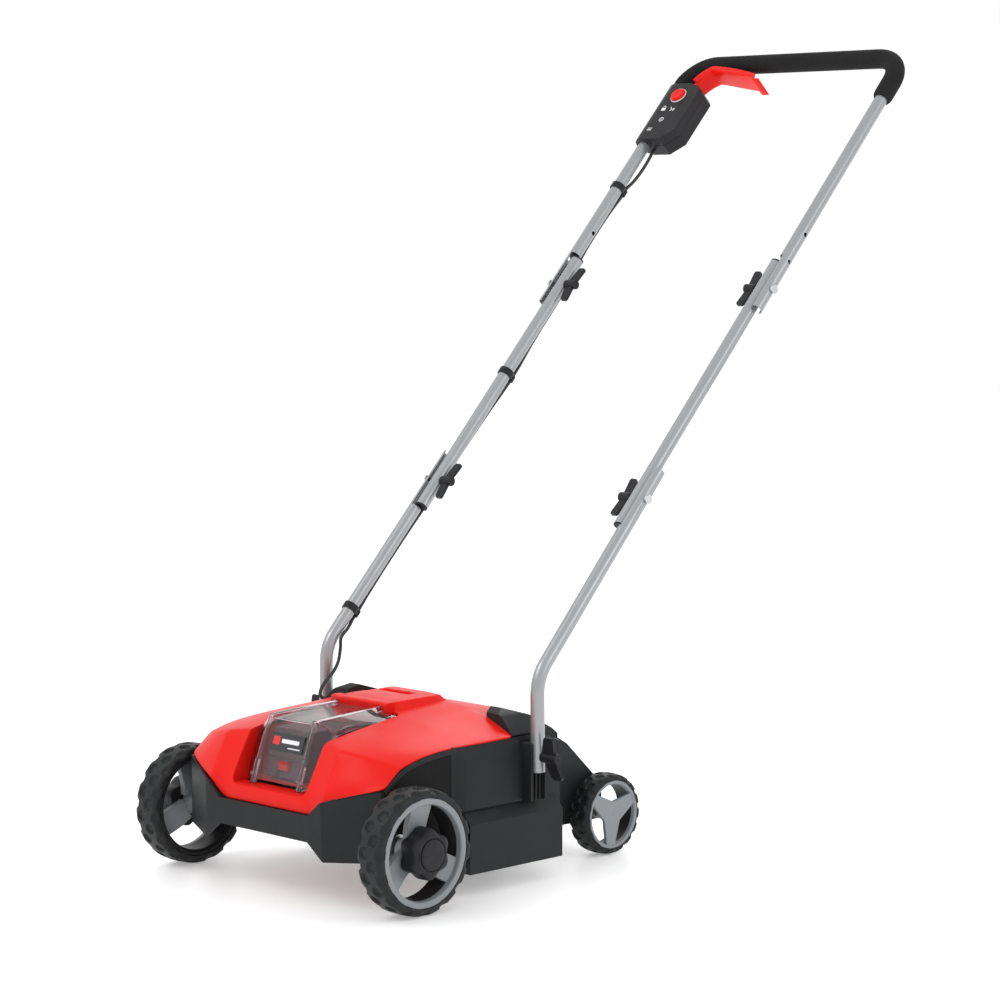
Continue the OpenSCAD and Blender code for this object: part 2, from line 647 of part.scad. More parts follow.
// Cross-section of the box, as [x, height in front of the handle plane]
box_section = [[-140, 16], [-208, 16], [-216, 13.8], [-222, 8], [-224, 0], [-222, -8], [-216, -13.8], [-208, -17],
    [-200, -20], [-140, -20]];
box_section_in = [[-141, 13.5], [-207.5, 13.5], [-214.6, 11.6], [-219.8, 6.9], [-221.5, 0], [-219.8, -6.9],
    [-214.6, -11.6], [-207, -14.6], [-199.5, -17.5], [-141, -17.5]];
box_front = 16;
box_back = 20;
button_x = -183;
button_s = 378.4;
button_r = 12.3;
bail_x = -173;
bail_s = 386;
arm_half = 10;           // half width of the lever's arm inside the box
blade_in = 15.2;         // the lever's side walls, clear of the foam
blade_out = 17.4;

// Slab of an outline in the handle plane, from h0 to h1 in front of that plane
module slab(outline, h0, h1) on_slope(fold_high) rotate([90, 0, 0]) translate([0, 0, h0])
    linear_extrude(h1 - h0) polygon(outline);
module along_front(x, s, h0, h1, r) on_slope(fold_high, x, s) rotate([90, 0, 0]) translate([0, 0, h0])
    cylinder(h = h1 - h0, r = r);

module box_body(section, outline, h0, h1) intersection() {
    on_slope(fold_high, 0, 280) linear_extrude(135) polygon([for (p = section) [p[0], -p[1]]]);
    slab(outline, h0, h1);
}

module box_cuts() {
    on_slope(fold_high, -upper_x, 200) cylinder(h = 300, r = tube_r + run);
    // mouth for the bail lever
    slab([[-188, 392], [-188, 412], [-158, 412], [-158, 392]], -arm_half - 1.5, arm_half + 1.5);
}

module switch_box_front() color(black) difference() {
    box_body(box_section, box_outline, 0.1, box_front + 1);
    box_body(box_section_in, box_outline_in, -eps, box_front + 1);
    along_front(button_x, button_s, 0, 30, button_r + 0.3);
    box_cuts();
}

module switch_box_rear() color(black) {
    difference() {
        box_body(box_section, box_outline, -box_back - 1, -0.1);
        box_body(box_section_in, box_outline_in, -box_back - 1, eps);
        box_cuts();
        // hole that holds the cable
        on_slope(fold_high, -193, 280) translate([0, 8, 0]) cylinder(h = 20, r = cable_r);
    }
    along_front(bail_x, bail_s, 1 - box_back, arm_half + 0.6, 2.4);
    along_front(bail_x, bail_s, 1 - box_back, -arm_half - 0.3, 6);
}

module safety_button() color(red) along_front(button_x, button_s, box_front - 1, box_front + 5, button_r);

blade_base = [[-172, 411.5], [-165, 422], [-154.5, 432], [-142, 434.5], [-100, 425.6], [-60, 417], [-50.8, 413.2],
    [-47, 409], [-38, 408.8], [-38, 405.8], [-49, 405.8], [-53, 410.4], [-60.7, 414], [-100.6, 422.6], [-141.8, 431.2],
    [-152.8, 429], [-162.3, 420], [-168.5, 410.5]];
blade_side = [[-170, 412], [-162, 426], [-153, 435], [-143, 439.5], [-128.5, 439.8], [-96, 431.5], [-56, 421], [-50, 416],
    [-53, 410.4], [-60.7, 414], [-100.6, 422.6], [-141.8, 431.2], [-152.8, 429], [-162.3, 420], [-168.5, 410.5]];
blade_arm = [[-178, 386], [-177, 400], [-171.5, 412], [-164, 422], [-161.5, 419.5], [-167.5, 409], [-168.5, 399],
    [-168, 386]];

module bail_lever() color(red) difference() {
    union() {
        slab(blade_arm, -arm_half, arm_half);
        slab(blade_base, -blade_out, blade_out);
        slab(blade_side, blade_in, blade_out);
        slab(blade_side, -blade_out, -blade_in);
        along_front(bail_x, bail_s, -arm_half, arm_half, 6);
    }
    along_front(bail_x, bail_s, -20, 20, 2.5);
}

// ---- cable, clipped to the left-hand tubes ----

// A point beside the tubes: x, distance s along the slope from p, height h in front of the tube line
function on_line(p, x, s, h) = [x, p[0] + s * slope_y - h * slope_z - mid_y, p[1] + s * slope_z + h * slope_y];

cable_upper_route = [for (q = [[-193, 292, -8], [-193, 284, -8], [-192, 262, -9], [-194, 240, -10.5], [-199, 222, -12],
    [-204, 208, -11.8], [-204, 198, -11.8], [-204, 188, -11.8], [-208, 165, -12.6], [-210, 130, -12.7],
    [-210, 90, -13], [-208, 60, -13.2], [-204, 30, -13.5], [-201, 4, -13.5]]) on_line(fold_high, q[0], q[1], q[2])];
cable_middle_route = [for (q = [[-201, 384.6, -13.5], [-200, 350, -13], [-199.5, 310, -12.8], [-198, 270, -12.8],
    [-195, 235, -12.6], [-193.5, 215, -12.1], [-193.5, 205, -12.1], [-193.5, 195, -12.1], [-196, 170, -12.6],
    [-199, 130, -12.8], [-201, 80, -13], [-203, 40, -13.4], [-204, 3, -13.5]]) on_line(fold_low, q[0], q[1], q[2])];
cable_lower_route = concat([for (q = [[-204, 1.4, -13.5], [-206, -40, -13], [-208, -90, -12.8], [-209, -150, -12.8],
    [-208.5, -200, -12.7], [-206.2, -227, -12.1], [-206.2, -237, -12.1], [-206.2, -247, -12.1]])
    on_line(fold_low, q[0], q[1], q[2])],
    [[-199, 268 - mid_y, 300], [-196, 252 - mid_y, 288], [-195.5, 250 - mid_y, 273], [-194, 244.5 - mid_y, 255],
    [-192, 233 - mid_y, 241], [-190, 213 - mid_y, 226], [-188.5, 205 - mid_y, 215], [-186, 206 - mid_y, 208.5],
    [-181, 212 - mid_y, 206.5], [-176, 220 - mid_y, 206]]);

module cable_upper() color(black) cord(cable_upper_route, cable_r);
module cable_middle() color(black) cord(cable_middle_route, cable_r);
module cable_lower() color(black) cord(cable_lower_route, cable_r);

// Band round the tube with a smaller eye for the cable behind it, dx towards the middle and dh behind the tube
module cable_clip(p, x, s, dx, dh, play) color(black) on_slope(p, x, s - 5) difference() {
    union() {
        cylinder(h = 10, r = tube_r + 2);
        translate([dx, dh, 0]) cylinder(h = 10, r = cable_r + 2);
    }
    translate([0, 0, -eps]) cylinder(h = 12, r = tube_r + play);
    translate([dx, dh, -eps]) cylinder(h = 12, r = cable_r + 0.2);
}

module cable_clip_upper() cable_clip(fold_high, -upper_x, 198, 4, 11.8, 0.05);
module cable_clip_middle() cable_clip(fold_low, -middle_x, 205, 3, 12.1, 0.05);
module cable_clip_lower() cable_clip(fold_low, -209.2, -237, 3, 12.1, 0.3);

// ---- wing nuts ----

module wing_base(side) color(black) at(side * (base_x + tube_r + gap), tube_y, base_bolt_z) sideways(side)
    rotate([0, 0, 18]) wing_nut(28);
module wing_fold(side, p) color(black) at(side * (middle_x - tube_r - gap), p[0], p[1]) sideways(-side)
    rotate([0, 0, side * (90 - handle_slope)]) wing_nut(19);

module lower_tube_left() mirror([1, 0, 0]) lower_tube();
module lower_tube_right() lower_tube();
module middle_tube_left() middle_tube(left);
module middle_tube_right() middle_tube(right);

chassis();
hood();
battery_bay();
rear_trim();
belt_cover();
battery_pack();
control_board();
motor();
motor_bracket();
drive_belt();
reel_bearings();
cover_hinge_pin();
flap_rod();
rear_axle();
lower_tube_left();
lower_tube_right();
frame_bolts();
housing_screws();
cable_lower();
cable_clip_lower();
depth_crank(left);  // depth_crank_left
depth_crank(right);  // depth_crank_right
depth_knob(left);  // depth_knob_left
depth_knob(right);  // depth_knob_right
front_tyre(left);  // front_tyre_left
front_tyre(right);  // front_tyre_right
front_rim(left);  // front_rim_left
front_rim(right);  // front_rim_right
rear_tyre(left);  // rear_tyre_left
rear_tyre(right);  // rear_tyre_right
rear_rim(left);  // rear_rim_left
rear_rim(right);  // rear_rim_right
reel_shaft();
reel_knives();
reel_spacers();
reel_pulley();
motor_pulley();
battery_cover();
battery_latch();
rear_flap();
middle_tube_left();
middle_tube_right();
middle_tube_plugs();
hinge_bolts();
cable_middle();
cable_clip_middle();
upper_handle();
foam_grip();
switch_box_front();
switch_box_rear();
cable_upper();
cable_clip_upper();
bail_lever();
safety_button();
wing_base(left);  // wing_nut_base_left
wing_base(right);  // wing_nut_base_right
wing_fold(left, fold_low);  // wing_nut_lower_left
wing_fold(right, fold_low);  // wing_nut_lower_right
wing_fold(left, fold_high);  // wing_nut_upper_left
wing_fold(right, fold_high);  // wing_nut_upper_right
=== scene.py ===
import bmesh
import bpy
import json
import math
import numpy as np
from mathutils import Vector, Matrix


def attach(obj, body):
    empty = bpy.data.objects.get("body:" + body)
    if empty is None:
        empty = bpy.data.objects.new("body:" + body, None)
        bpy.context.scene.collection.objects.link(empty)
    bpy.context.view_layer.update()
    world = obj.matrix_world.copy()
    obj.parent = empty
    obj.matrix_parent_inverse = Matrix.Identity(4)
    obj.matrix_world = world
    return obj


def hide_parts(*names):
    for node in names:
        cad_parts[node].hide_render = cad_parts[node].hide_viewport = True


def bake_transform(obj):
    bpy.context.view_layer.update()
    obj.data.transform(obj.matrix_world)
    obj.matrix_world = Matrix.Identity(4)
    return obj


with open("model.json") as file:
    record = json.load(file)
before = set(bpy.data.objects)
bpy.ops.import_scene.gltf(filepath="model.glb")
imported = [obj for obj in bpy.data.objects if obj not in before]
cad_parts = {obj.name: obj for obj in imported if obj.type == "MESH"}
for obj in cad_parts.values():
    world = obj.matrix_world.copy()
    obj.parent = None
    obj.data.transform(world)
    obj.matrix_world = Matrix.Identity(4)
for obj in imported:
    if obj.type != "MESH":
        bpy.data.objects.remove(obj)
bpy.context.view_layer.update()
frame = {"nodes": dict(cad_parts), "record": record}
nodes = frame["nodes"]
pi = math.pi

# ---- geometry shared with the CAD, millimetres, front axle at y = 0 ----
SL = math.radians(47.2)
T = np.array([0, math.cos(SL), math.sin(SL)])
N = np.array([0, -math.sin(SL), math.cos(SL)])
J1 = np.array([0, 236, 277]) + 304 * T
J2 = J1 + 382 * T
UPPER_LEG = 457
FOAM_R = 14.5
FRONT_R = 82
BAR = J2 + UPPER_LEG * T
MID = (BAR[1] + FOAM_R - FRONT_R) / 2


def w(p):
    return Vector((p[0] / 1000, (p[1] - MID) / 1000, p[2] / 1000))


def on(p0, x, s, h):
    return np.array([x, 0, 0]) + p0 + s * T + h * N


# ---- materials ----
def mat(name, color, rough=0.5, metal=0.0, grain=0.0, grain_scale=900, vary=0.06, wear=0.0, coat=0.0, spec=0.5,
        trans=0.0, ior=1.46, rough_vary=0.08, alpha=1.0):
    m = bpy.data.materials.new(name)
    m.use_nodes = True
    nt = m.node_tree
    nd, ln = nt.nodes, nt.links
    b = nd["Principled BSDF"]
    b.inputs["Metallic"].default_value = metal
    b.inputs["Specular IOR Level"].default_value = spec
    b.inputs["IOR"].default_value = ior
    b.inputs["Coat Weight"].default_value = coat
    b.inputs["Coat Roughness"].default_value = 0.08
    b.inputs["Transmission Weight"].default_value = trans
    b.inputs["Alpha"].default_value = alpha
    tc = nd.new("ShaderNodeTexCoord")
    n1 = nd.new("ShaderNodeTexNoise")
    n1.inputs["Scale"].default_value = 14
    n1.inputs["Detail"].default_value = 4
    ln.new(tc.outputs["Object"], n1.inputs["Vector"])
    mix = nd.new("ShaderNodeMix")
    mix.data_type = "RGBA"
    ln.new(n1.outputs["Fac"], mix.inputs["Factor"])
    lo = [max(0, c * (1 - vary)) for c in color]
    hi = [min(1, c * (1 + vary) + vary * 0.01) for c in color]
    mix.inputs[6].default_value = (*lo, 1)
    mix.inputs[7].default_value = (*hi, 1)
    col = mix.outputs[2]
    if wear > 0:
        geo = nd.new("ShaderNodeNewGeometry")
        ramp = nd.new("ShaderNodeMapRange")
        ramp.inputs["From Min"].default_value = 0.53
        ramp.inputs["From Max"].default_value = 0.60
        ln.new(geo.outputs["Pointiness"], ramp.inputs["Value"])
        n3 = nd.new("ShaderNodeTexNoise")
        n3.inputs["Scale"].default_value = 60
        ln.new(tc.outputs["Object"], n3.inputs["Vector"])
        mu = nd.new("ShaderNodeMath")
        mu.operation = "MULTIPLY"
        ln.new(ramp.outputs[0], mu.inputs[0])
        ln.new(n3.outputs["Fac"], mu.inputs[1])
        mu2 = nd.new("ShaderNodeMath")
        mu2.operation = "MULTIPLY"
        mu2.inputs[1].default_value = wear
        ln.new(mu.outputs[0], mu2.inputs[0])
        mx = nd.new("ShaderNodeMix")
        mx.data_type = "RGBA"
        ln.new(mu2.outputs[0], mx.inputs["Factor"])
        ln.new(col, mx.inputs[6])
        mx.inputs[7].default_value = (*[min(1, c * 2.2 + 0.06) for c in color], 1)
        col = mx.outputs[2]
    ln.new(col, b.inputs["Base Color"])
    n2 = nd.new("ShaderNodeTexNoise")
    n2.inputs["Scale"].default_value = 40
    n2.inputs["Detail"].default_value = 3
    ln.new(tc.outputs["Object"], n2.inputs["Vector"])
    mr = nd.new("ShaderNodeMapRange")
    mr.inputs["To Min"].default_value = max(0.02, rough - rough_vary)
    mr.inputs["To Max"].default_value = min(1, rough + rough_vary)
    ln.new(n2.outputs["Fac"], mr.inputs["Value"])
    ln.new(mr.outputs[0], b.inputs["Roughness"])
    if grain > 0:
        n4 = nd.new("ShaderNodeTexNoise")
        n4.inputs["Scale"].default_value = grain_scale
        n4.inputs["Detail"].default_value = 2
        ln.new(tc.outputs["Object"], n4.inputs["Vector"])
        bp = nd.new("ShaderNodeBump")
        bp.inputs["Strength"].default_value = grain
        bp.inputs["Distance"].default_value = 0.0006
        ln.new(n4.outputs["Fac"], bp.inputs["Height"])
        ln.new(bp.outputs[0], b.inputs["Normal"])
    return m


M = {
    "body_red": mat("hood_red", (0.72, 0.010, 0.006), 0.34, coat=0.03, grain=0.05, vary=0.05, spec=0.14),
    "bay_red": mat("bay_red", (0.50, 0.016, 0.02), 0.4, grain=0.08, spec=0.3),
    "control_red": mat("control_red", (0.74, 0.010, 0.007), 0.3, coat=0.03, grain=0.04, spec=0.14),
    "housing_black": mat("housing_black", (0.017, 0.018, 0.019), 0.46, grain=0.35, grain_scale=1400, vary=0.12,
                         wear=0.15, spec=0.16),
    "arch_dark": mat("arch_dark", (0.006, 0.006, 0.007), 0.6, grain=0.3, grain_scale=1400, vary=0.15,
                     spec=0.15),
    "flap_black": mat("flap_black", (0.02, 0.02, 0.022), 0.5, grain=0.35, grain_scale=1400, vary=0.12),
    "trim_black": mat("trim_black", (0.015, 0.015, 0.017), 0.4, grain=0.25, grain_scale=1500, vary=0.1,
                      wear=0.1, spec=0.2),
    "pack_black": mat("pack_black", (0.075, 0.055, 0.06), 0.42, grain=0.2, vary=0.1),
    "circuit_board": mat("circuit_board", (0.01, 0.13, 0.05), 0.3, grain=0.2, grain_scale=500, vary=0.3),
    "machined_steel": mat("machined_steel", (0.55, 0.56, 0.58), 0.3, 1.0, grain=0.08, grain_scale=700),
    "knife_steel": mat("knife_steel", (0.5, 0.51, 0.52), 0.34, 1.0, grain=0.12, grain_scale=300, vary=0.15),
    "inner_plastic": mat("inner_plastic", (0.04, 0.04, 0.045), 0.5, grain=0.2),
    "belt_rubber": mat("belt_rubber", (0.015, 0.015, 0.015), 0.7, grain=0.3),
    "tube_steel": mat("tube_steel", (0.33, 0.34, 0.35), 0.32, 0.6, grain=0.12, grain_scale=1800, vary=0.05,
                      coat=0.1),
    "fastener_steel": mat("fastener_steel", (0.6, 0.6, 0.61), 0.25, 1.0, grain=0.08),
    "cable_black": mat("cable_black", (0.015, 0.015, 0.016), 0.38, grain=0.05),
    "tyre_black": mat("tyre_black", (0.016, 0.017, 0.018), 0.4, grain=0.3, grain_scale=1100, vary=0.15,
                      wear=0.1, spec=0.2),
    "rim_grey": mat("rim_grey", (0.21, 0.225, 0.24), 0.38, grain=0.15, grain_scale=1500, vary=0.05, wear=0.1),
    "foam": mat("foam", (0.012, 0.012, 0.013), 0.85, grain=0.9, grain_scale=1300, vary=0.25, spec=0.2),
    "label_dark": mat("label_dark", (0.02, 0.021, 0.024), 0.3, coat=0.2, grain=0.03),
    "label_white": mat("label_white", (0.75, 0.75, 0.75), 0.4, grain=0.03),
    "label_red": mat("label_red", (0.7, 0.02, 0.02), 0.35, grain=0.03),
    "ring_light": mat("ring_light", (0.6, 0.6, 0.62), 0.35, grain=0.05),
}


def clear(name):
    m = bpy.data.materials.new(name)
    m.use_nodes = True
    nt = m.node_tree
    nd, ln = nt.nodes, nt.links
    b = nd["Principled BSDF"]
    tc = nd.new("ShaderNodeTexCoord")
    n1 = nd.new("ShaderNodeTexNoise")
    n1.inputs["Scale"].default_value = 30
    ln.new(tc.outputs["Object"], n1.inputs["Vector"])
    mix = nd.new("ShaderNodeMix")
    mix.data_type = "RGBA"
    ln.new(n1.outputs["Fac"], mix.inputs["Factor"])
    mix.inputs[6].default_value = (0.86, 0.70, 0.73, 1)
    mix.inputs[7].default_value = (0.90, 0.76, 0.79, 1)
    ln.new(mix.outputs[2], b.inputs["Base Color"])
    mr = nd.new("ShaderNodeMapRange")
    mr.inputs["To Min"].default_value = 0.02
    mr.inputs["To Max"].default_value = 0.07
    ln.new(n1.outputs["Fac"], mr.inputs["Value"])
    ln.new(mr.outputs[0], b.inputs["Roughness"])
    b.inputs["Transmission Weight"].default_value = 1.0
    b.inputs["IOR"].default_value = 1.45
    return m


M["clear_cover"] = clear("smoked_clear")


# ---- mesh helpers ----
def new_obj(name, verts, faces, material, body, smooth=True, replaces=(), raw=False):
    me = bpy.data.meshes.new(name)
    pts = [tuple(v) for v in verts] if raw else [tuple(w(v)) for v in verts]
    me.from_pydata(pts, [], [tuple(int(i) for i in f) for f in faces])
    bm = bmesh.new()
    bm.from_mesh(me)
    bmesh.ops.remove_doubles(bm, verts=bm.verts, dist=1e-6)
    bmesh.ops.recalc_face_normals(bm, faces=bm.faces)
    bm.to_mesh(me)
    bm.free()
    o = bpy.data.objects.new(name, me)
    bpy.context.collection.objects.link(o)
    me.materials.append(M[material])
    if smooth:
        for p in me.polygons:
            p.use_smooth = True
    if body:
        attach(o, body)
    if replaces:
        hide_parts(*replaces)
    return o


def bevel(o, width=0.0008, segments=2, angle=30):
    md = o.modifiers.new("bevel", "BEVEL")
    md.width = width
    md.segments = segments
    md.limit_method = "ANGLE"
    md.angle_limit = math.radians(angle)
    md.harden_normals = False
    return md


def smooth_angle(o, deg=35):
    me = o.data
    for p in me.polygons:
        p.use_smooth = True
    me.set_sharp_from_angle(angle=math.radians(deg))


def prism(poly, z0, z1, place):
    """Closed prism of a 2-D outline; place(u, v, d) gives the point in millimetres."""
    n = len(poly)
    v = [place(p[0], p[1], z0) for p in poly] + [place(p[0], p[1], z1) for p in poly]
    f = [tuple(range(n))[::-1], tuple(range(n, 2 * n))]
    f += [(i, (i + 1) % n, n + (i + 1) % n, n + i) for i in range(n)]
    return v, f


def along_x(side=1):
    """Placer for a prism whose outline is in the side view, (y, z), and whose depth is x."""
    return lambda u, v, d: (side * d, u, v)


def join(parts):
    V, F = [], []
    for v, f in parts:
        k = len(V)
        V += list(v)
        F += [tuple(i + k for i in q) for q in f]
    return V, F


def lathe(profile, centre, side, segs=96, closed=True, disp=None):
    """Revolves (axial, radius) points about X through centre; side sends axial outwards."""
    V, F = [], []
    n = len(profile)
    for k in range(segs):
        a = 2 * pi * k / segs
        for i, (ax, r) in enumerate(profile):
            rr = r if disp is None else r - disp(a, ax, r)
            V.append((centre[0] + side * ax, centre[1] + rr * math.cos(a), centre[2] + rr * math.sin(a)))
    for k in range(segs):
        k2 = (k + 1) % segs
        for i in range(n if closed else n - 1):
            j = (i + 1) % n
            F.append((k * n + i, k * n + j, k2 * n + j, k2 * n + i))
    return V, F


def smooth_path(pts, per=8):
    P = [np.array(p, float) for p in pts]
    P = [2 * P[0] - P[1]] + P + [2 * P[-1] - P[-2]]
    out = []
    for i in range(1, len(P) - 2):
        for k in range(per):
            t = k / per
            a, b, c, d = P[i - 1], P[i], P[i + 1], P[i + 2]
            out.append(0.5 * (2 * b + (c - a) * t + (2 * a - 5 * b + 4 * c - d) * t * t + (3 * b - a - 3 * c + d) * t ** 3))
    out.append(P[-2])
    return out


def tube(path, r, sides=16, caps=True):
    V, F = [], []
    n = len(path)
    up = np.array([1.0, 0, 0])
    prev = None
    for i, p in enumerate(path):
        d = path[min(i + 1, n - 1)] - path[max(i - 1, 0)]
        d = d / np.linalg.norm(d)
        if prev is None:
            u = np.cross(d, up)
            if np.linalg.norm(u) < 0.1:
                u = np.cross(d, np.array([0, 0, 1.0]))
        else:
            u = prev - d * np.dot(prev, d)
        u = u / np.linalg.norm(u)
        prev = u
        v = np.cross(d, u)
        rr = r(i) if callable(r) else r
        for k in range(sides):
            a = 2 * pi * k / sides
            V.append(p + rr * (u * math.cos(a) + v * math.sin(a)))
    for i in range(n - 1):
        for k in range(sides):
            k2 = (k + 1) % sides
            F.append((i * sides + k, i * sides + k2, (i + 1) * sides + k2, (i + 1) * sides + k))
    if caps:
        F.append(tuple(range(sides))[::-1])
        F.append(tuple((n - 1) * sides + k for k in range(sides)))
    return V, F


# ---- CAD nodes that stay: material, softened edges ----
slot_of = {s["node"]: s["material_slot"] for s in frame["record"]["subparts"]}
replaced = set()


def keep_cad():
    for name, o in nodes.items():
        if name in replaced:
            continue
        m = M[slot_of[name]]
        o.data.materials.clear()
        o.data.materials.append(m)
        small = name in ("drive_belt", "reel_knives", "housing_screws", "control_board")
        if not small:
            wd = o.modifiers.new("weld", "WELD")
            wd.merge_threshold = 2e-5
            bevel(o, 0.0006 if "tube" in name or "handle" in name else 0.0011, 2, 32)
            sm = o.modifiers.new("normals", "WEIGHTED_NORMAL")
            sm.keep_sharp = False


def replace(name):
    replaced.add(name)


# ---- camera, floor, light ----
cam_d = bpy.data.cameras.new("camera")
cam_d.lens = 108.1
cam_d.sensor_width = 36
cam_d.clip_end = 50
cam = bpy.data.objects.new("camera", cam_d)
bpy.context.collection.objects.link(cam)
cam.location = (2.9611, -2.5631 - MID / 1000, 0.8881)
cam.rotation_euler = (pi / 2 - 0.0954, 0, 0.7893)
bpy.context.scene.camera = cam

me = bpy.data.meshes.new("floor")
S = 9
me.from_pydata([(-S, -S, 0), (S, -S, 0), (S, S, 0), (-S, S, 0)], [], [(0, 1, 2, 3)])
floor = bpy.data.objects.new("floor", me)
bpy.context.collection.objects.link(floor)
floor.location.z = -0.0003
fm = bpy.data.materials.new("floor_pale")
fm.use_nodes = True
fb = fm.node_tree.nodes["Principled BSDF"]
fb.inputs["Base Color"].default_value = (0.88, 0.88, 0.88, 1)
fb.inputs["Roughness"].default_value = 0.35
fb.inputs["Emission Color"].default_value = (1, 1, 1, 1)
fb.inputs["Emission Strength"].default_value = 0.3
me.materials.append(fm)

world = bpy.data.worlds.new("world")
bpy.context.scene.world = world
world.use_nodes = True
bg = world.node_tree.nodes["Background"]
bg.inputs[0].default_value = (1, 1, 1, 1)
bg.inputs[1].default_value = 1.0


def area(name, loc, target, size, power, size_y=None):
    d = bpy.data.lights.new(name, "AREA")
    d.shape = "RECTANGLE"
    d.size = size
    d.size_y = size_y or size
    d.energy = power
    o = bpy.data.objects.new(name, d)
    bpy.context.collection.objects.link(o)
    o.location = loc
    o.rotation_euler = (Vector(target) - Vector(loc)).to_track_quat("-Z", "Y").to_euler()


area("key", (-1.2, -2.6, 3.0), (0, 0, 0.3), 1.8, 34)
area("side", (3.2, 0.6, 1.8), (0, 0, 0.4), 1.6, 16)
area("back", (-1.5, 2.6, 2.6), (0, 0.2, 0.6), 1.6, 20)

bpy.context.scene.view_settings.view_transform = "Standard"


# ---- hood ----
def mirror_grid(rows):
    """Rows of half-width points (x >= 0) to full rows, left to right."""
    out = []
    for r in rows:
        left = [(-p[0], p[1], p[2]) if p else None for p in reversed(r[1:])]
        out.append(left + list(r))
    return out


def grid_mesh(rows):
    V, F, idx = [], [], {}
    for j, r in enumerate(rows):
        for i, p in enumerate(r):
            if p is not None:
                idx[(i, j)] = len(V)
                V.append(p)
    for j in range(len(rows) - 1):
        for i in range(len(rows[0]) - 1):
            q = [(i, j), (i + 1, j), (i + 1, j + 1), (i, j + 1)]
            if all(k in idx for k in q):
                F.append([idx[k] for k in q])
    return V, F


X9 = [0, 30, 60, 74.6, 88, 112, 150, 184, 190]
O = None
hood_rows = [
    [(x, -54, 117) for x in X9[:4]] + [(88, -53, 117), (112, -54, 137), (150, -41, 148), (184, -26, 157),
                                       (190, -20, 159.5)],
    [(x, -52.5, 137) for x in X9[:4]] + [(88, -51.5, 139), (112, -51, 149), (150, -38.5, 157), (184, -22, 161),
                                         (190, -15, 163)],
    [O, O, O, (74.6, -39, 165), (88, -40, 165), (112, -41, 167), (150, -31, 173), (184, -13, 171),
     (190, -6, 171)],
    [O, O, O, (74.6, -18, 203), (88, -20, 202), (112, -26, 198), (150, -15, 193), (184, 3, 184),
     (190, 8, 181.5)],
    [O, O, O, (74.6, 20, 210.5), (88, 18, 209.8), (112, 14, 207.5), (150, 20, 202.5), (184, 32, 193),
     (190, 38, 190.8)],
    [O, O, O, (74.6, 80, 219.3), (88, 80, 218.3), (112, 80, 215), (150, 80, 207.5), (184, 80, 198.2),
     (190, 80, 196)],
    [(x, 118.5, z) for x, z in zip(X9, (225.5, 225.5, 225, 224, 222.5, 218.5, 210, 199.8, 197))],
    [(x, 165, z) for x, z in zip(X9, (228, 228, 227.5, 226.5, 225.2, 221, 211.5, 200.5, 197.6))],
    [(0, 205, 230.5), (30, 205, 230.5), (60, 205, 230), (74.6, 205, 229), (88, 205, 228), (112, 206, 225),
     (136, 207.5, 218.5),
     (170, 208.5, 206.5), (190, 209, 198.3)],
    [(0, 214, 230), (30, 214, 230), (60, 214, 229.6), (74.6, 214, 228.8), (88, 214, 228), (111, 214, 225.2),
     (134, 214, 219.5),
     (134, 214, 219.5), (134, 214, 219.5)],
    [(0, 240, 226), (30, 240, 226), (60, 240, 225.8), (74, 240, 225.3), (86, 240, 224.6), (105, 240, 222.3),
     (121, 240, 217.5),
     (121, 240, 217.5), (121, 240, 217.5)],
    [(0, 263, 221), (30, 263, 221), (60, 263, 220.8), (74, 263, 220.4), (84, 263, 219.8), (99, 263, 217.8),
     (110, 263, 213.5),
     (110, 263, 213.5), (110, 263, 213.5)],
    [(0, 300, 212.5), (30, 300, 212.5), (60, 300, 212.3), (74, 300, 212), (84, 300, 211.6), (100, 300, 210.4),
     (110, 300, 207),
     (110, 300, 207), (110, 300, 207)],
    [(0, 317.5, 207.5), (30, 317.5, 207.5), (60, 317.5, 207.4), (74, 317.5, 207.2), (84, 317.5, 207),
     (100, 317.5, 206),
     (110, 317.5, 203.5), (110, 317.5, 203.5), (110, 317.5, 203.5)],
]
gv, gf = grid_mesh(mirror_grid(hood_rows))
hood = new_obj("hood_shell", gv, gf, "body_red", "machine", replaces=("hood",))
replace("hood")


def crease_lines(o, lines, value):
    """Creases the edges that lie along the given point lists."""
    me = o.data
    lay = me.attributes.get("crease_edge") or me.attributes.new("crease_edge", "FLOAT", "EDGE")
    keys = {}
    for v in me.vertices:
        keys[(round(v.co.x, 5), round(v.co.y, 5), round(v.co.z, 5))] = v.index
    want = set()
    for ln in lines:
        ids = [keys.get(tuple(round(c, 5) for c in w(p))) for p in ln]
        for a, b in zip(ids, ids[1:]):
            if a is not None and b is not None:
                want.add((min(a, b), max(a, b)))
    for e in me.edges:
        k = (min(e.vertices), max(e.vertices))
        if k in want:
            lay.data[e.index].value = value


def col_of(rows, c, j0, j1, sgn):
    return [(sgn * rows[j][c][0], rows[j][c][1], rows[j][c][2]) for j in range(j0, j1)]


for sgn in (1, -1):
    crease_lines(hood, [col_of(hood_rows, 5, 0, 4, sgn)], 0.62)
    crease_lines(hood, [[(sgn * p[0], p[1], p[2]) for p in hood_rows[3][3:]]], 0.5)
    crease_lines(hood, [[(sgn * p[0], p[1], p[2]) for p in hood_rows[8][5:]]], 0.8)
    crease_lines(hood, [col_of(hood_rows, 6, 8, 14, sgn)], 0.6)
    crease_lines(hood, [[(sgn * p[0], p[1], p[2]) for p in hood_rows[0][:6]]], 0.9)
sub = hood.modifiers.new("sub", "SUBSURF")
sub.levels = sub.render_levels = 3
sol = hood.modifiers.new("thick", "SOLIDIFY")
sol.thickness = 0.0028
sol.offset = 0
bevel(hood, 0.0008, 2, 40)

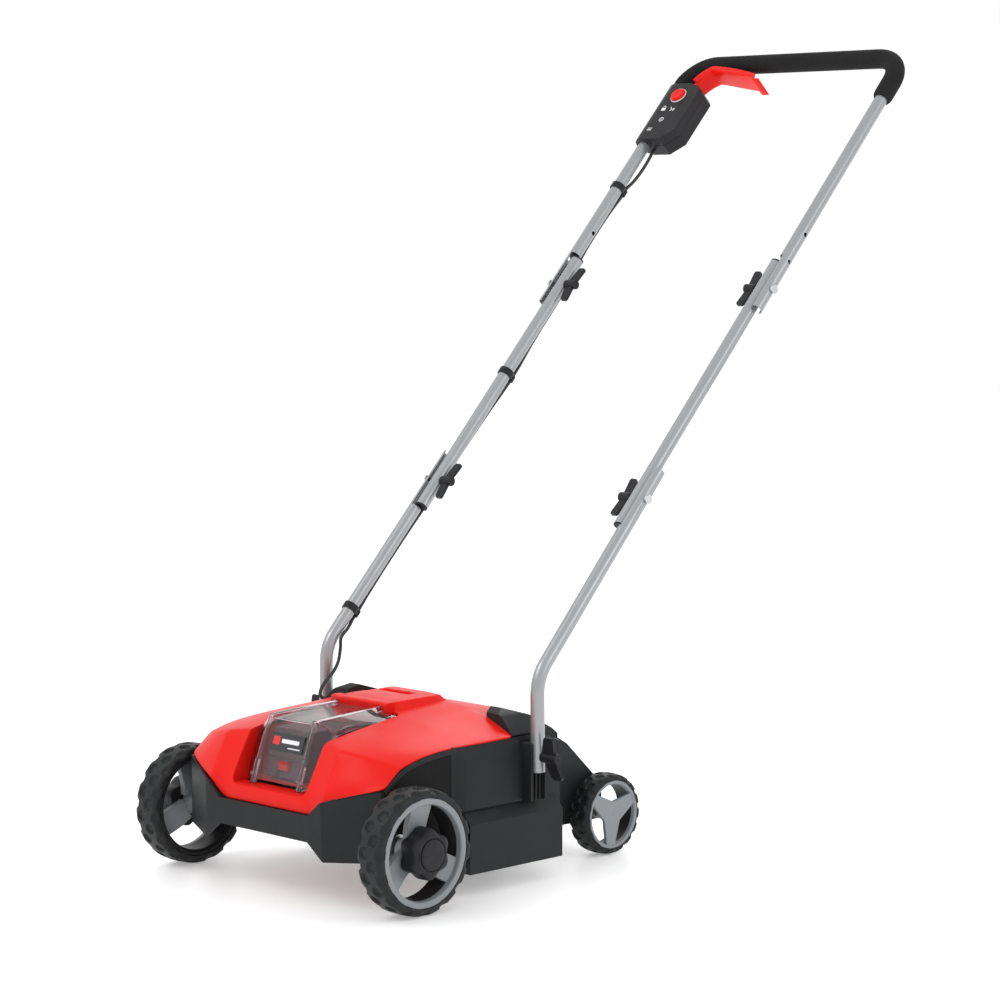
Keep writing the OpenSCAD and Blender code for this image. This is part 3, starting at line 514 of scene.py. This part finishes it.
# raised side panels, the rims of the wheel arches and their shaded insides
def loft(sections):
    n = len(sections[0])
    V = [p for sec in sections for p in sec]
    F = [(i * n + k, i * n + (k + 1) % n, (i + 1) * n + (k + 1) % n, (i + 1) * n + k)
         for i in range(len(sections) - 1) for k in range(n)]
    F += [tuple(range(n))[::-1], tuple((len(sections) - 1) * n + k for k in range(n))]
    return V, F


def panel_section(side, y, out, z_top, z_low):
    q = [(188.5, z_top + 17.5), (190.4, z_top + 17), (190.4 + out, z_top), (190.4 + out, z_low + 5),
         (190.4, z_low), (188.5, z_low)]
    return [(side * x, y, z) for x, z in q]


arch_edge = smooth_path([(-21, 155), (-14, 163.5), (-4, 172), (10, 180), (28, 186.5), (50, 191), (78, 194.6),
                         (104, 196.2)], 4)
for side, nm in ((1, "right"), (-1, "left")):
    v, f = loft([panel_section(side, y, out, zt, 108) for y, out, zt in
                 ((97, 0.3, 181.5), (101, 0.6, 181.2), (115, 6.2, 180.2), (119, 7, 180), (180, 7, 178.2),
                  (221.5, 7, 176.5))])
    o = new_obj("side_panel_" + nm, v, f, "housing_black", "machine")
    bevel(o, 0.0014, 3, 12)
    smooth_angle(o, 50)
    secs = []
    for i, p in enumerate(arch_edge):
        d = arch_edge[min(i + 1, len(arch_edge) - 1)] - arch_edge[max(i - 1, 0)]
        d = d / np.linalg.norm(d)
        dn = np.array([d[1], -d[0]])
        secs.append([(side * x, p[0] + dn[0] * q, p[1] + dn[1] * q)
                     for q, x in ((0, 188), (0, 191.6), (1.2, 192.2), (5.2, 192.2), (6.4, 191.4), (6.4, 188))])
    v, f = loft(secs)
    o = new_obj("arch_rim_" + nm, v, f, "housing_black", "machine")
    smooth_angle(o, 40)
    pts = [(p[0] + 3, p[1] - 5) for p in arch_edge] + [(106, 110), (106, 66), (-17, 66)]
    v, f = prism(pts, 189, 190.25, along_x(side))
    new_obj("arch_inside_" + nm, v, f, "arch_dark", "machine", smooth=False)

# raised block behind the battery cover, with the finger pocket
bx = [-58, -49, -38, -22, 4, 22, 49, 58]
by = [119.5, 123, 150, 178, 192, 212, 222]


def block_z(x, y):
    side = {58: 225.5, 49: 239.2}.get(abs(x), 240.2)
    front = {119.5: -4, 123: 0, 222: -8}.get(y, 0)
    rise = (y - 123) * 0.012
    return side + min(0, front) * (0 if abs(x) == 58 else 1) + rise - 1.0


V, F = [], []
bi = {}
for j, y in enumerate(by):
    for i, x in enumerate(bx):
        bi[(i, j)] = len(V)
        V.append((x, y, block_z(x, y)))
pocket = {(2, 3), (3, 3), (4, 3)}
for j in range(len(by) - 1):
    for i in range(len(bx) - 1):
        if (i, j) not in pocket:
            F.append((bi[(i, j)], bi[(i + 1, j)], bi[(i + 1, j + 1)], bi[(i, j + 1)]))
ring = [(2, 3), (3, 3), (4, 3), (5, 3), (5, 4), (4, 4), (3, 4), (2, 4)]
low = []
for (i, j) in ring:
    x, y = bx[i], by[j]
    low.append(len(V))
    V.append((x + (1.5 if i == 2 else -2 if i == 5 else 0), y + (1.2 if j == 3 else -1.2),
              block_z(x, y) - (9 if i > 2 else 3)))
for k in range(8):
    k2 = (k + 1) % 8
    F.append((bi[ring[k]], bi[ring[k2]], low[k2], low[k]))
F.append((low[0], low[1], low[6], low[7]))
F.append((low[1], low[2], low[5], low[6]))
F.append((low[2], low[3], low[4], low[5]))
skirt = [(i, 0) for i in range(len(bx))] + [(len(bx) - 1, j) for j in range(1, len(by))] + \
        [(i, len(by) - 1) for i in range(len(bx) - 2, -1, -1)] + [(0, j) for j in range(len(by) - 2, 0, -1)]
sk = []
for (i, j) in skirt:
    sk.append(len(V))
    V.append((bx[i], by[j], 218 if by[j] < 200 else 220))
for k in range(len(skirt)):
    k2 = (k + 1) % len(skirt)
    F.append((bi[skirt[k]], bi[skirt[k2]], sk[k2], sk[k]))
F.append(tuple(sk))
block = new_obj("hood_block", V, F, "body_red", "machine")
bevel(block, 0.0022, 3, 20)
smooth_angle(block, 50)
v, f = prism([(106.4, 218), (106.4, 237.4), (109, 239.6), (124, 239.8), (124, 218)], -55.6, 55.6, along_x())
front_of_block = new_obj("hood_block_front", v, f, "body_red", "machine")
bevel(front_of_block, 0.0022, 3, 20)
smooth_angle(front_of_block, 50)

pin = [(-55, 1.9), (-55.1, 0.01), (55.1, 0.01), (55, 1.9)]
v, f = lathe(pin, (0, 113, 235), 1, 24, True)
pin_o = new_obj("hinge_pin", v, f, "machined_steel", "machine", replaces=("cover_hinge_pin",))
replace("cover_hinge_pin")
smooth_angle(pin_o, 40)

# sill and side linings of the battery opening
parts = [prism([(-51.6, 134.5), (-51.6, 138), (-30, 138.6), (-30, 135.5)], -75.4, 75.4, along_x())]
for sgn in (1, -1):
    parts.append(prism([(-51.2, 136), (-39.8, 165), (-19, 202), (10, 208), (10, 196), (-12, 160), (-24, 136)],
                       73.95, 75.6,
                       along_x(sgn)))
v, f = join(parts)
lining = new_obj("hood_lining", v, f, "body_red", "machine", smooth=False)
bevel(lining, 0.0005)

# dark inset on the rear slope
v, f = prism([(-30, 226), (30, 226), (30, 250), (-30, 250)], 0, 1, lambda x, y,
             d: (x, y, 228.9 - (y - 214) * 0.171 + (0.2 if d else -2)))
inset = new_obj("hood_inset", v, f, "bay_red", "machine")
bevel(inset, 0.0005)

# ---- battery cover ----
cov = [
    [(0, -36, 144), (38, -36, 144), (41.5, -41.5, 139), (50, -41.5, 139), (60, -34, 142.5), (72.4, -24.5, 150)],
    [(0, -31.5, 158), (38, -31.5, 158), (41.5, -35.5, 157), (50, -35.5, 157), (61, -28, 160), (73.2, -20, 165)],
    [(0, -18.5, 196), (38, -18.5, 196), (41, -21.5, 196), (49, -21.5, 196), (61, -13, 194), (73.6, -5, 198.6)],
    [(0, -6.5, 223.5), (37, -6.5, 223.5), (40, -8.5, 228), (46.5, -7.5, 228), (60, 0, 219), (73.6, 5, 210)],
    [(0, 30, 226.8), (37, 30, 226.8), (39.5, 29, 230.2), (45, 29, 230), (60, 29, 222.5), (73.6, 30, 214)],
    [(0, 105.5, 230.5), (36, 105.5, 230.5), (38.5, 105.5, 233.5), (42.5, 105.5, 233.5), (57, 107, 226),
     (73.6, 115, 222.6)],
]
gv, gf = grid_mesh(mirror_grid(cov))
cover = new_obj("cover_shell", gv, gf, "clear_cover", "cover", smooth=False,
                replaces=("battery_cover",))
replace("battery_cover")
sol = cover.modifiers.new("thick", "SOLIDIFY")
sol.thickness = 0.0022
sol.offset = -1
bevel(cover, 0.0009, 3, 12)
smooth_angle(cover, 60)

# prong feet, ribs and the hinge ears of the cover
parts = []
for sgn in (1, -1):
    for x0, x1 in ((41.8, 43.4), (48.2, 49.8)):
        parts.append(prism([(-41.6, 139), (-39.5, 138.4), (-28.5, 170), (-31.4, 170)], x0, x1, along_x(sgn)))
    parts.append(prism([(-43, 150), (-38, 150), (-38, 154), (-42.3, 154)], 42.5, 49, lambda y, z, d,
                       s=sgn: (s * d, y + 1.2, z)))
    parts.append(prism([(98, 224), (98, 229), (109, 237.5), (113, 238.4), (116, 235), (113, 232), (106, 226)],
                       42, 47,
                       along_x(sgn)))
v, f = join(parts)
feet = new_obj("cover_ribs", v, f, "clear_cover", "cover")
bevel(feet, 0.0005)
smooth_angle(feet, 40)


def on_front(u, v, d):
    """Point on the cover's sloping front: u across, v up the slope from z = 158, d proud of it."""
    s = np.array([0, 13.0, 38.0]) / np.linalg.norm([13.0, 38.0])
    n = np.array([0, -38.0, 13.0]) / np.linalg.norm([13.0, 38.0])
    return np.array([u, -31.5, 158]) + s * v + n * d


def plate(name, u0, v0, u1, v1, d0, d1, material, body, r=1.5):
    pts = []
    for cx, cy, a0 in ((u1 - r, v1 - r, 0), (u0 + r, v1 - r, 90), (u0 + r, v0 + r, 180), (u1 - r, v0 + r, 270)):
        for k in range(5):
            a = math.radians(a0 + 22.5 * k)
            pts.append((cx + r * math.cos(a), cy + r * math.sin(a)))
    v, f = prism(pts, d0, d1, on_front)
    o = new_obj(name, v, f, material, body, smooth=False)
    bevel(o, 0.00025, 2)
    return o


plate("cover_label", -31, 27, 33, 51, 0.02, 0.5, "label_dark", "cover", 2.0)
plate("cover_label_mark", -27, 35, -14, 46, 0.3, 0.62, "label_red", "cover", 1.0)
plate("cover_label_bar", -10, 38, 24, 43.5, 0.3, 0.62, "label_white", "cover", 0.8)
plate("cover_label_line", 4, 31.5, 28, 33, 0.3, 0.62, "label_white", "cover", 0.5)

# battery pack with its release button, seen through the cover
v, f = join([
    prism([(-24.6, 149), (-5.6, 211), (30, 213), (34, 206), (95, 206), (95, 149)], -37, 37, along_x()),
    prism([(-25.4, 176), (-23.2, 183), (-17.5, 183), (-19.5, 176)], -34, 34, lambda y, z, d: (d, y + 3.4, z)),
    prism([(-26.5, 151), (-20, 172), (-17, 172), (-21, 151)], -30, -13, lambda y, z, d: (d, y + 0.2, z)),
    prism([(-26.5, 151), (-20, 172), (-17, 172), (-21, 151)], 13, 30, lambda y, z, d: (d, y + 0.2, z)),
])
pack_o = new_obj("battery_case", v, f, "pack_black", "machine", smooth=False,
                 replaces=("battery_pack",))
replace("battery_pack")
bevel(pack_o, 0.0018, 3, 25)
smooth_angle(pack_o, 40)


# ---- wheels ----
def sstep(q, a, b):
    t = np.clip((q - a) / (b - a), 0, 1)
    return 1 - t * t * (3 - 2 * t)


def tread(R, wd, n, depth, skew):
    pitch = 2 * pi * R / n

    def disp(a, ax, r):
        if r < R - 9:
            return 0.0
        u = (a * n / (2 * pi)) % 1
        best = 0.0
        for side in (0, 1):
            ph = 0.25 + 0.5 * side
            ax0 = wd * (0.34 if side == 0 else 0.66)
            du = ((u - ph + 0.5) % 1 - 0.5) * pitch
            dx = ax - ax0
            sk = skew * (1 if side == 0 else -1)
            p = dx * math.cos(sk) + du * math.sin(sk)
            q = -dx * math.sin(sk) + du * math.cos(sk)
            best = max(best, depth * sstep((p / (wd * 0.19)) ** 2 + (q / (pitch * 0.23)) ** 2, 0.65, 1.05))
            du2 = ((u - ph) % 1 - 0.5) * pitch
            edge = 0 if side == 0 else wd
            q2 = ((ax - edge) / (wd * 0.2)) ** 2 + (du2 / (pitch * 0.24)) ** 2
            best = max(best, depth * 1.25 * sstep(q2, 0.6, 1.05))
        return float(best)
    return disp


def tyre(name, R, wd, bore, inner, y, z, side, body, node, n, depth, skew, per):
    prof = [(0.6, bore + 0.1), (0.6, bore + 3)]
    for k in range(4):
        a = k / 3 * pi / 2
        prof.append((0.6 + 5.4 * (1 - math.cos(a)), R - 6.5 + 5.7 * math.sin(a)))
    m = 22
    for k in range(1, m):
        t = k / m
        crown = 0.8 * (1 - (2 * t - 1) ** 2)
        prof.append((6 + (wd - 12) * t, R - 0.8 + crown))
    for k in range(4):
        a = (3 - k) / 3 * pi / 2
        prof.append((wd - 0.6 - 5.4 * (1 - math.cos(a)), R - 6.5 + 5.7 * math.sin(a)))
    prof += [(wd - 0.6, bore + 3), (wd - 0.6, bore + 0.1)]
    v, f = lathe(prof, (side * inner, y, z), side, n * per, True, tread(R, wd, n, depth, skew))
    o = new_obj(name, v, f, "tyre_black", body, replaces=(node,))
    replace(node)
    smooth_angle(o, 38)
    return o


def spoke_part(centre, side, a, r0, r1, h0, h1, top, thick):
    """One spoke at angle a from +Y towards +Z; top(r) is the outer face's distance along the axle."""
    rs = [r0, r0 + (r1 - r0) * 0.3, r0 + (r1 - r0) * 0.5, r0 + (r1 - r0) * 0.75, r1]
    V, F = [], []
    for r in rs:
        t = (r - r0) / (r1 - r0)
        h = h0 + (h1 - h0) * t
        for q, dz in ((-1, 0), (1, 0), (1, -thick), (-1, -thick)):
            ax = top(r) + dz
            yy = r * math.cos(a) - q * h * math.sin(a)
            zz = r * math.sin(a) + q * h * math.cos(a)
            V.append((centre[0] + side * ax, centre[1] + yy, centre[2] + zz))
    m = len(rs)
    for i in range(m - 1):
        for k in range(4):
            k2 = (k + 1) % 4
            F.append((4 * i + k, 4 * i + k2, 4 * i + 4 + k2, 4 * i + 4 + k))
    F.append((0, 1, 2, 3))
    F.append((4 * m - 4, 4 * m - 3, 4 * m - 2, 4 * m - 1))
    return V, F


def inside_black(o, c, side, r_min, ax_max):
    """Gives the barrel behind a rim's face the dark material."""
    o.data.materials.append(M["trim_black"])
    c = w(c)
    for p in o.data.polygons:
        q = p.center - c
        if math.hypot(q.y, q.z) > r_min / 1000 and side * q.x < ax_max / 1000:
            p.material_index = 1


for side, nm in ((1, "right"), (-1, "left")):
    body = "front_wheel_" + nm
    c = (side * 202, 0, 82)
    tyre("front_tread_" + nm, 82, 44, 70.8, 202, 0, 82, side, body, "front_tyre_" + nm, 15, 3.1, 0.62, 26)
    ringp = [(1.5, 70.7), (1.5, 66), (4, 62.5), (20, 61.5), (35, 61.5), (38, 61.5), (42.6, 62.3), (43.6, 63.6),
             (43.8, 66), (43.8, 69), (43.2, 70.7)]
    hubp = [(0, 6.1), (0, 15), (25, 15), (27, 13.5), (27, 6.1)]
    parts = [lathe(ringp, c, side, 96), lathe(hubp, c, side, 48)]
    top = lambda r: 26.0 if r < 30 else 26 + (r - 30) / 33 * 11
    for a in (90, 210, 330):
        parts.append(spoke_part(c, side, math.radians(a), 12, 63.5, 15.5, 17.5, top, 9))
    v, f = join(parts)
    o = new_obj("front_rim_face_" + nm, v, f, "rim_grey", body, replaces=("front_rim_" + nm,))
    replace("front_rim_" + nm)
    inside_black(o, c, side, 60.5, 35.5)
    bevel(o, 0.0009, 2, 30)
    smooth_angle(o, 35)
    # star knob
    kc = (side * 229.6, 0, 82)

    def lobe(a, ax, r):
        return 0.0 if r < 23.5 else (1 - math.cos(6 * a + pi)) * 2.7 * (r / 34)
    kp = [(0, 6.2), (0, 29), (1.5, 33.2), (5, 34.2), (21, 33.8), (25, 32.6), (27.6, 29.8), (28.4, 25.6),
          (28.6, 23.4), (28.4, 21.6),
          (27.2, 21), (27.2, 20.2), (29, 19.9), (29.8, 18.8), (30, 15), (30, 0.01)]
    v, f = lathe(kp, kc, side, 120, False, lobe)
    o = new_obj("knob_star_" + nm, v, f, "trim_black", "crank_" + nm,
                replaces=("depth_knob_" + nm,))
    replace("depth_knob_" + nm)
    smooth_angle(o, 40)
    # rear wheel
    body = "rear_wheel_" + nm
    c = (side * 121, 442, 56.5)
    tyre("rear_tread_" + nm, 56.5, 36, 47.8, 121, 442, 56.5, side, body, "rear_tyre_" + nm, 16, 2.2, 0.5, 18)
    ringp = [(1.5, 47.7), (1.5, 44.5), (4, 42.5), (18, 42), (29.6, 42), (31, 42), (34.4, 42.6), (35.6, 44),
             (35.7, 46.5), (35.3, 47.7)]
    parts = [lathe(ringp, c, side, 80), lathe([(0, 5.1), (0, 9), (32, 9), (33.4, 8), (33.4, 0.01),
                                               (31.5, 0.01), (31.5, 5.1)], c, side, 40)]
    for a in (25, 145, 265):
        parts.append(spoke_part(c, side, math.radians(a), 2, 43.5, 17, 8, lambda r: 33.5 + 0.02 * r, 5))
    v, f = join(parts)
    o = new_obj("rear_rim_face_" + nm, v, f, "rim_grey", body, replaces=("rear_rim_" + nm,))
    replace("rear_rim_" + nm)
    inside_black(o, c, side, 41, 30)
    bevel(o, 0.0008, 2, 30)
    smooth_angle(o, 35)


# ---- grip, lever and switch box ----
def arc(cx, cs, r, a0, a1, m=12):
    return [(cx + r * math.cos(math.radians(a0 + (a1 - a0) * k / m)),
             cs + r * math.sin(math.radians(a0 + (a1 - a0) * k / m)))
            for k in range(m + 1)]


flat = [(208, 372 + 35 * k / 9) for k in range(9)] + arc(158, 407, 50, 0,
                                                         90) + [(158 - 15.8 * k, 457) for k in range(1, 20)] + \
       arc(-158, 407, 50, 90, 180)
path = [on(J2, x, s, 0) for x, s in flat]
m = len(path)


def foam_r(i):
    e = min(i, m - 1 - i)
    return [12.2, 14.0, 14.4][e] if e < 3 else FOAM_R


v, f = tube(path, foam_r, 32)
foam = new_obj("grip_foam", v, f, "foam", "upper_frame", replaces=("foam_grip",))
replace("foam_grip")

low = [(-168.5, 410.5), (-162.3, 420), (-152.8, 429), (-141.8, 431.2), (-100.6, 422.6), (-60.7, 414),
       (-53, 410.4), (-49, 405.8),
       (-38, 405.8)]
top = [(-172, 411.5), (-165, 422), (-154.5, 432), (-142, 434.5), (-100, 425.6), (-60, 417), (-50.8, 413.2),
       (-47, 409), (-38, 408.8)]
rim = [(-172.2, 411.8), (-165.8, 424.2), (-155, 435), (-142.8, 439.2), (-99, 432), (-56, 421), (-50, 415.8),
       (-46.8, 409.3), (-38, 409)]
low, top, rim = (smooth_path(q, 6) for q in (low, top, rim))
V, F = [], []
for a, b, c in zip(low, top, rim):
    a2 = a + (b - a) * 0.55
    for q, h in ((a, -15.6), (a2, -17.4), (c, -17.4), (c, -15.2), (b, -15.2), (b, 15.2), (c, 15.2), (c, 17.4),
                 (a2, 17.4), (a, 15.6)):
        V.append(on(J2, q[0], q[1], h))
for i in range(len(low) - 1):
    for k in range(10):
        k2 = (k + 1) % 10
        F.append((10 * i + k, 10 * i + k2, 10 * i + 10 + k2, 10 * i + 10 + k))
F.append(tuple(range(10)))
F.append(tuple(10 * (len(low) - 1) + k for k in range(10)))
arm = [(-178, 386), (-177, 400), (-171.5, 412), (-164, 422), (-161.5, 419.5), (-167.5, 409), (-168.5, 399),
       (-168, 386)]
V, F = join([(V, F), prism(arm, -10, 10, lambda x, s, h: on(J2, x, s, h))])
lever = new_obj("bail_blade", V, F, "control_red", "bail", replaces=("bail_lever",))
replace("bail_lever")
bevel(lever, 0.0005, 2, 40)
smooth_angle(lever, 50)


def on_box(u, s, h):
    return on(J2, u, s, h)


bc = (-183, 378.4)
pts = [(bc[0] + 11.6 * math.cos(2 * pi * k / 40), bc[1] + 11.6 * math.sin(2 * pi * k / 40)) for k in range(40)]
V, F = [], []
for k, (r, h) in enumerate(((12.2, 15.2), (12.2, 19.2), (11.3, 20.5), (9.5, 21.0), (5, 20.4), (0.01, 20.1))):
    for a in range(40):
        V.append(on_box(bc[0] + r * math.cos(2 * pi * a / 40), bc[1] + r * math.sin(2 * pi * a / 40), h))
for k in range(5):
    for a in range(40):
        b2 = (a + 1) % 40
        F.append((40 * k + a, 40 * k + b2, 40 * k + 40 + b2, 40 * k + 40 + a))
F.append(tuple(range(40)))
btn = new_obj("button_cap", V, F, "control_red", "button", replaces=("safety_button",))
replace("safety_button")
smooth_angle(btn, 40)

V, F = [], []
for k, (r, h) in enumerate(((12.5, 15.7), (12.5, 16.8), (13.0, 17.2), (13.7, 16.9), (14.0, 15.7))):
    for a in range(48):
        V.append(on_box(bc[0] + r * math.cos(2 * pi * a / 48), bc[1] + r * math.sin(2 * pi * a / 48), h))
for k in range(4):
    for a in range(48):
        b2 = (a + 1) % 48
        F.append((48 * k + a, 48 * k + b2, 48 * k + 48 + b2, 48 * k + 48 + a))
rg = new_obj("button_ring", V, F, "ring_light", "upper_frame")


def icon(name, polys, material="label_white"):
    parts = [prism(p, 15.95, 16.2, on_box) for p in polys]
    v, f = join(parts)
    return new_obj(name, v, f, material, "upper_frame", smooth=False)


def rect(cx, cs, a, b, rot=0):
    r = math.radians(rot)
    return [(cx + x * math.cos(r) - y * math.sin(r), cs + x * math.sin(r) + y * math.cos(r)) for x, y in
            ((-a, -b), (a, -b), (a, b), (-a, b))]


def ring_polys(cx, cs, r0, r1, a0, a1, m=10):
    out = []
    for k in range(m):
        t0 = math.radians(a0 + (a1 - a0) * k / m)
        t1 = math.radians(a0 + (a1 - a0) * (k + 1) / m)
        out.append([(cx + r0 * math.cos(t0), cs + r0 * math.sin(t0)),
                    (cx + r1 * math.cos(t0), cs + r1 * math.sin(t0)),
                    (cx + r1 * math.cos(t1), cs + r1 * math.sin(t1)),
                    (cx + r0 * math.cos(t1), cs + r0 * math.sin(t1))])
    return out


icon("icon_lock", [rect(-197, 350, 4, 3)] + ring_polys(-197, 354, 2.2, 3.2, 0, 180))
icon("icon_arrow", [rect(-178, 349, 5, 0.7, 30), rect(-175.5, 348.2, 2.2, 0.7, 80),
                    rect(-182, 352, 2.6, 0.7, -60)])
icon("icon_ring", ring_polys(-188, 328, 3.4, 4.4, 0, 360, 16) + [rect(-188, 328, 0.6, 2.4)])
icon("icon_bar", [rect(-200, 306, 4.5, 0.9), rect(-200, 309.6, 4.5, 0.6)])


# ---- cable, one run bent at the two fold bolts ----
def L(p0, q):
    return on(p0, q[0], q[1], q[2])


up = [L(J2, q) for q in ((-193, 292, -8), (-193, 284, -8), (-192, 262, -9), (-194, 240, -10.5),
                         (-199, 222, -12), (-204, 208, -11.8),
                         (-204, 198, -11.8), (-204, 188, -11.8), (-208, 165, -12.6), (-210, 130, -12.7),
                         (-210, 90, -13),
                         (-208, 60, -13.2), (-204, 30, -13.5), (-201, 4, -13.5))]
midp = [L(J1, q) for q in ((-200, 350, -13), (-199.5, 310, -12.8), (-198, 270, -12.8), (-195, 235, -12.6),
                           (-193.5, 215, -12.1),
                           (-193.5, 205, -12.1), (-193.5, 195, -12.1), (-196, 170, -12.6), (-199, 130, -12.8),
                           (-201, 80, -13),
                           (-203, 40, -13.4), (-204, 3, -13.5))]
lo = [L(J1, q) for q in ((-206, -40, -13), (-208, -90, -12.8), (-209, -150, -12.8), (-208.5, -200, -12.7),
                         (-206.2, -227, -12.1),
                         (-206.2, -237, -12.1), (-206.2, -247, -12.1))]
lo += [np.array(p, float) for p in ((-199, 268, 300), (-196, 252, 288), (-195.5, 250, 273), (-194, 244.5, 255),
                                    (-192, 233, 241),
                                    (-190, 213, 226), (-188.5, 205, 215), (-186, 206, 208.5),
                                    (-181, 212, 206.5), (-176, 220, 206))]
pa = smooth_path(up + midp[:6], 8)
pb = smooth_path(midp[5:] + lo, 8)
v, f = tube(pa, 2.5, 12)
ca = new_obj("cable_upper_run", v, f, "cable_black", None,
             replaces=("cable_upper", "cable_middle"))
v, f = tube(pb, 2.5, 12)
cb = new_obj("cable_lower_run", v, f, "cable_black", None, replaces=("cable_lower",))
for q in ("cable_upper", "cable_middle", "cable_lower"):
    replace(q)
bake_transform(ca)
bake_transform(cb)


keep_cad()
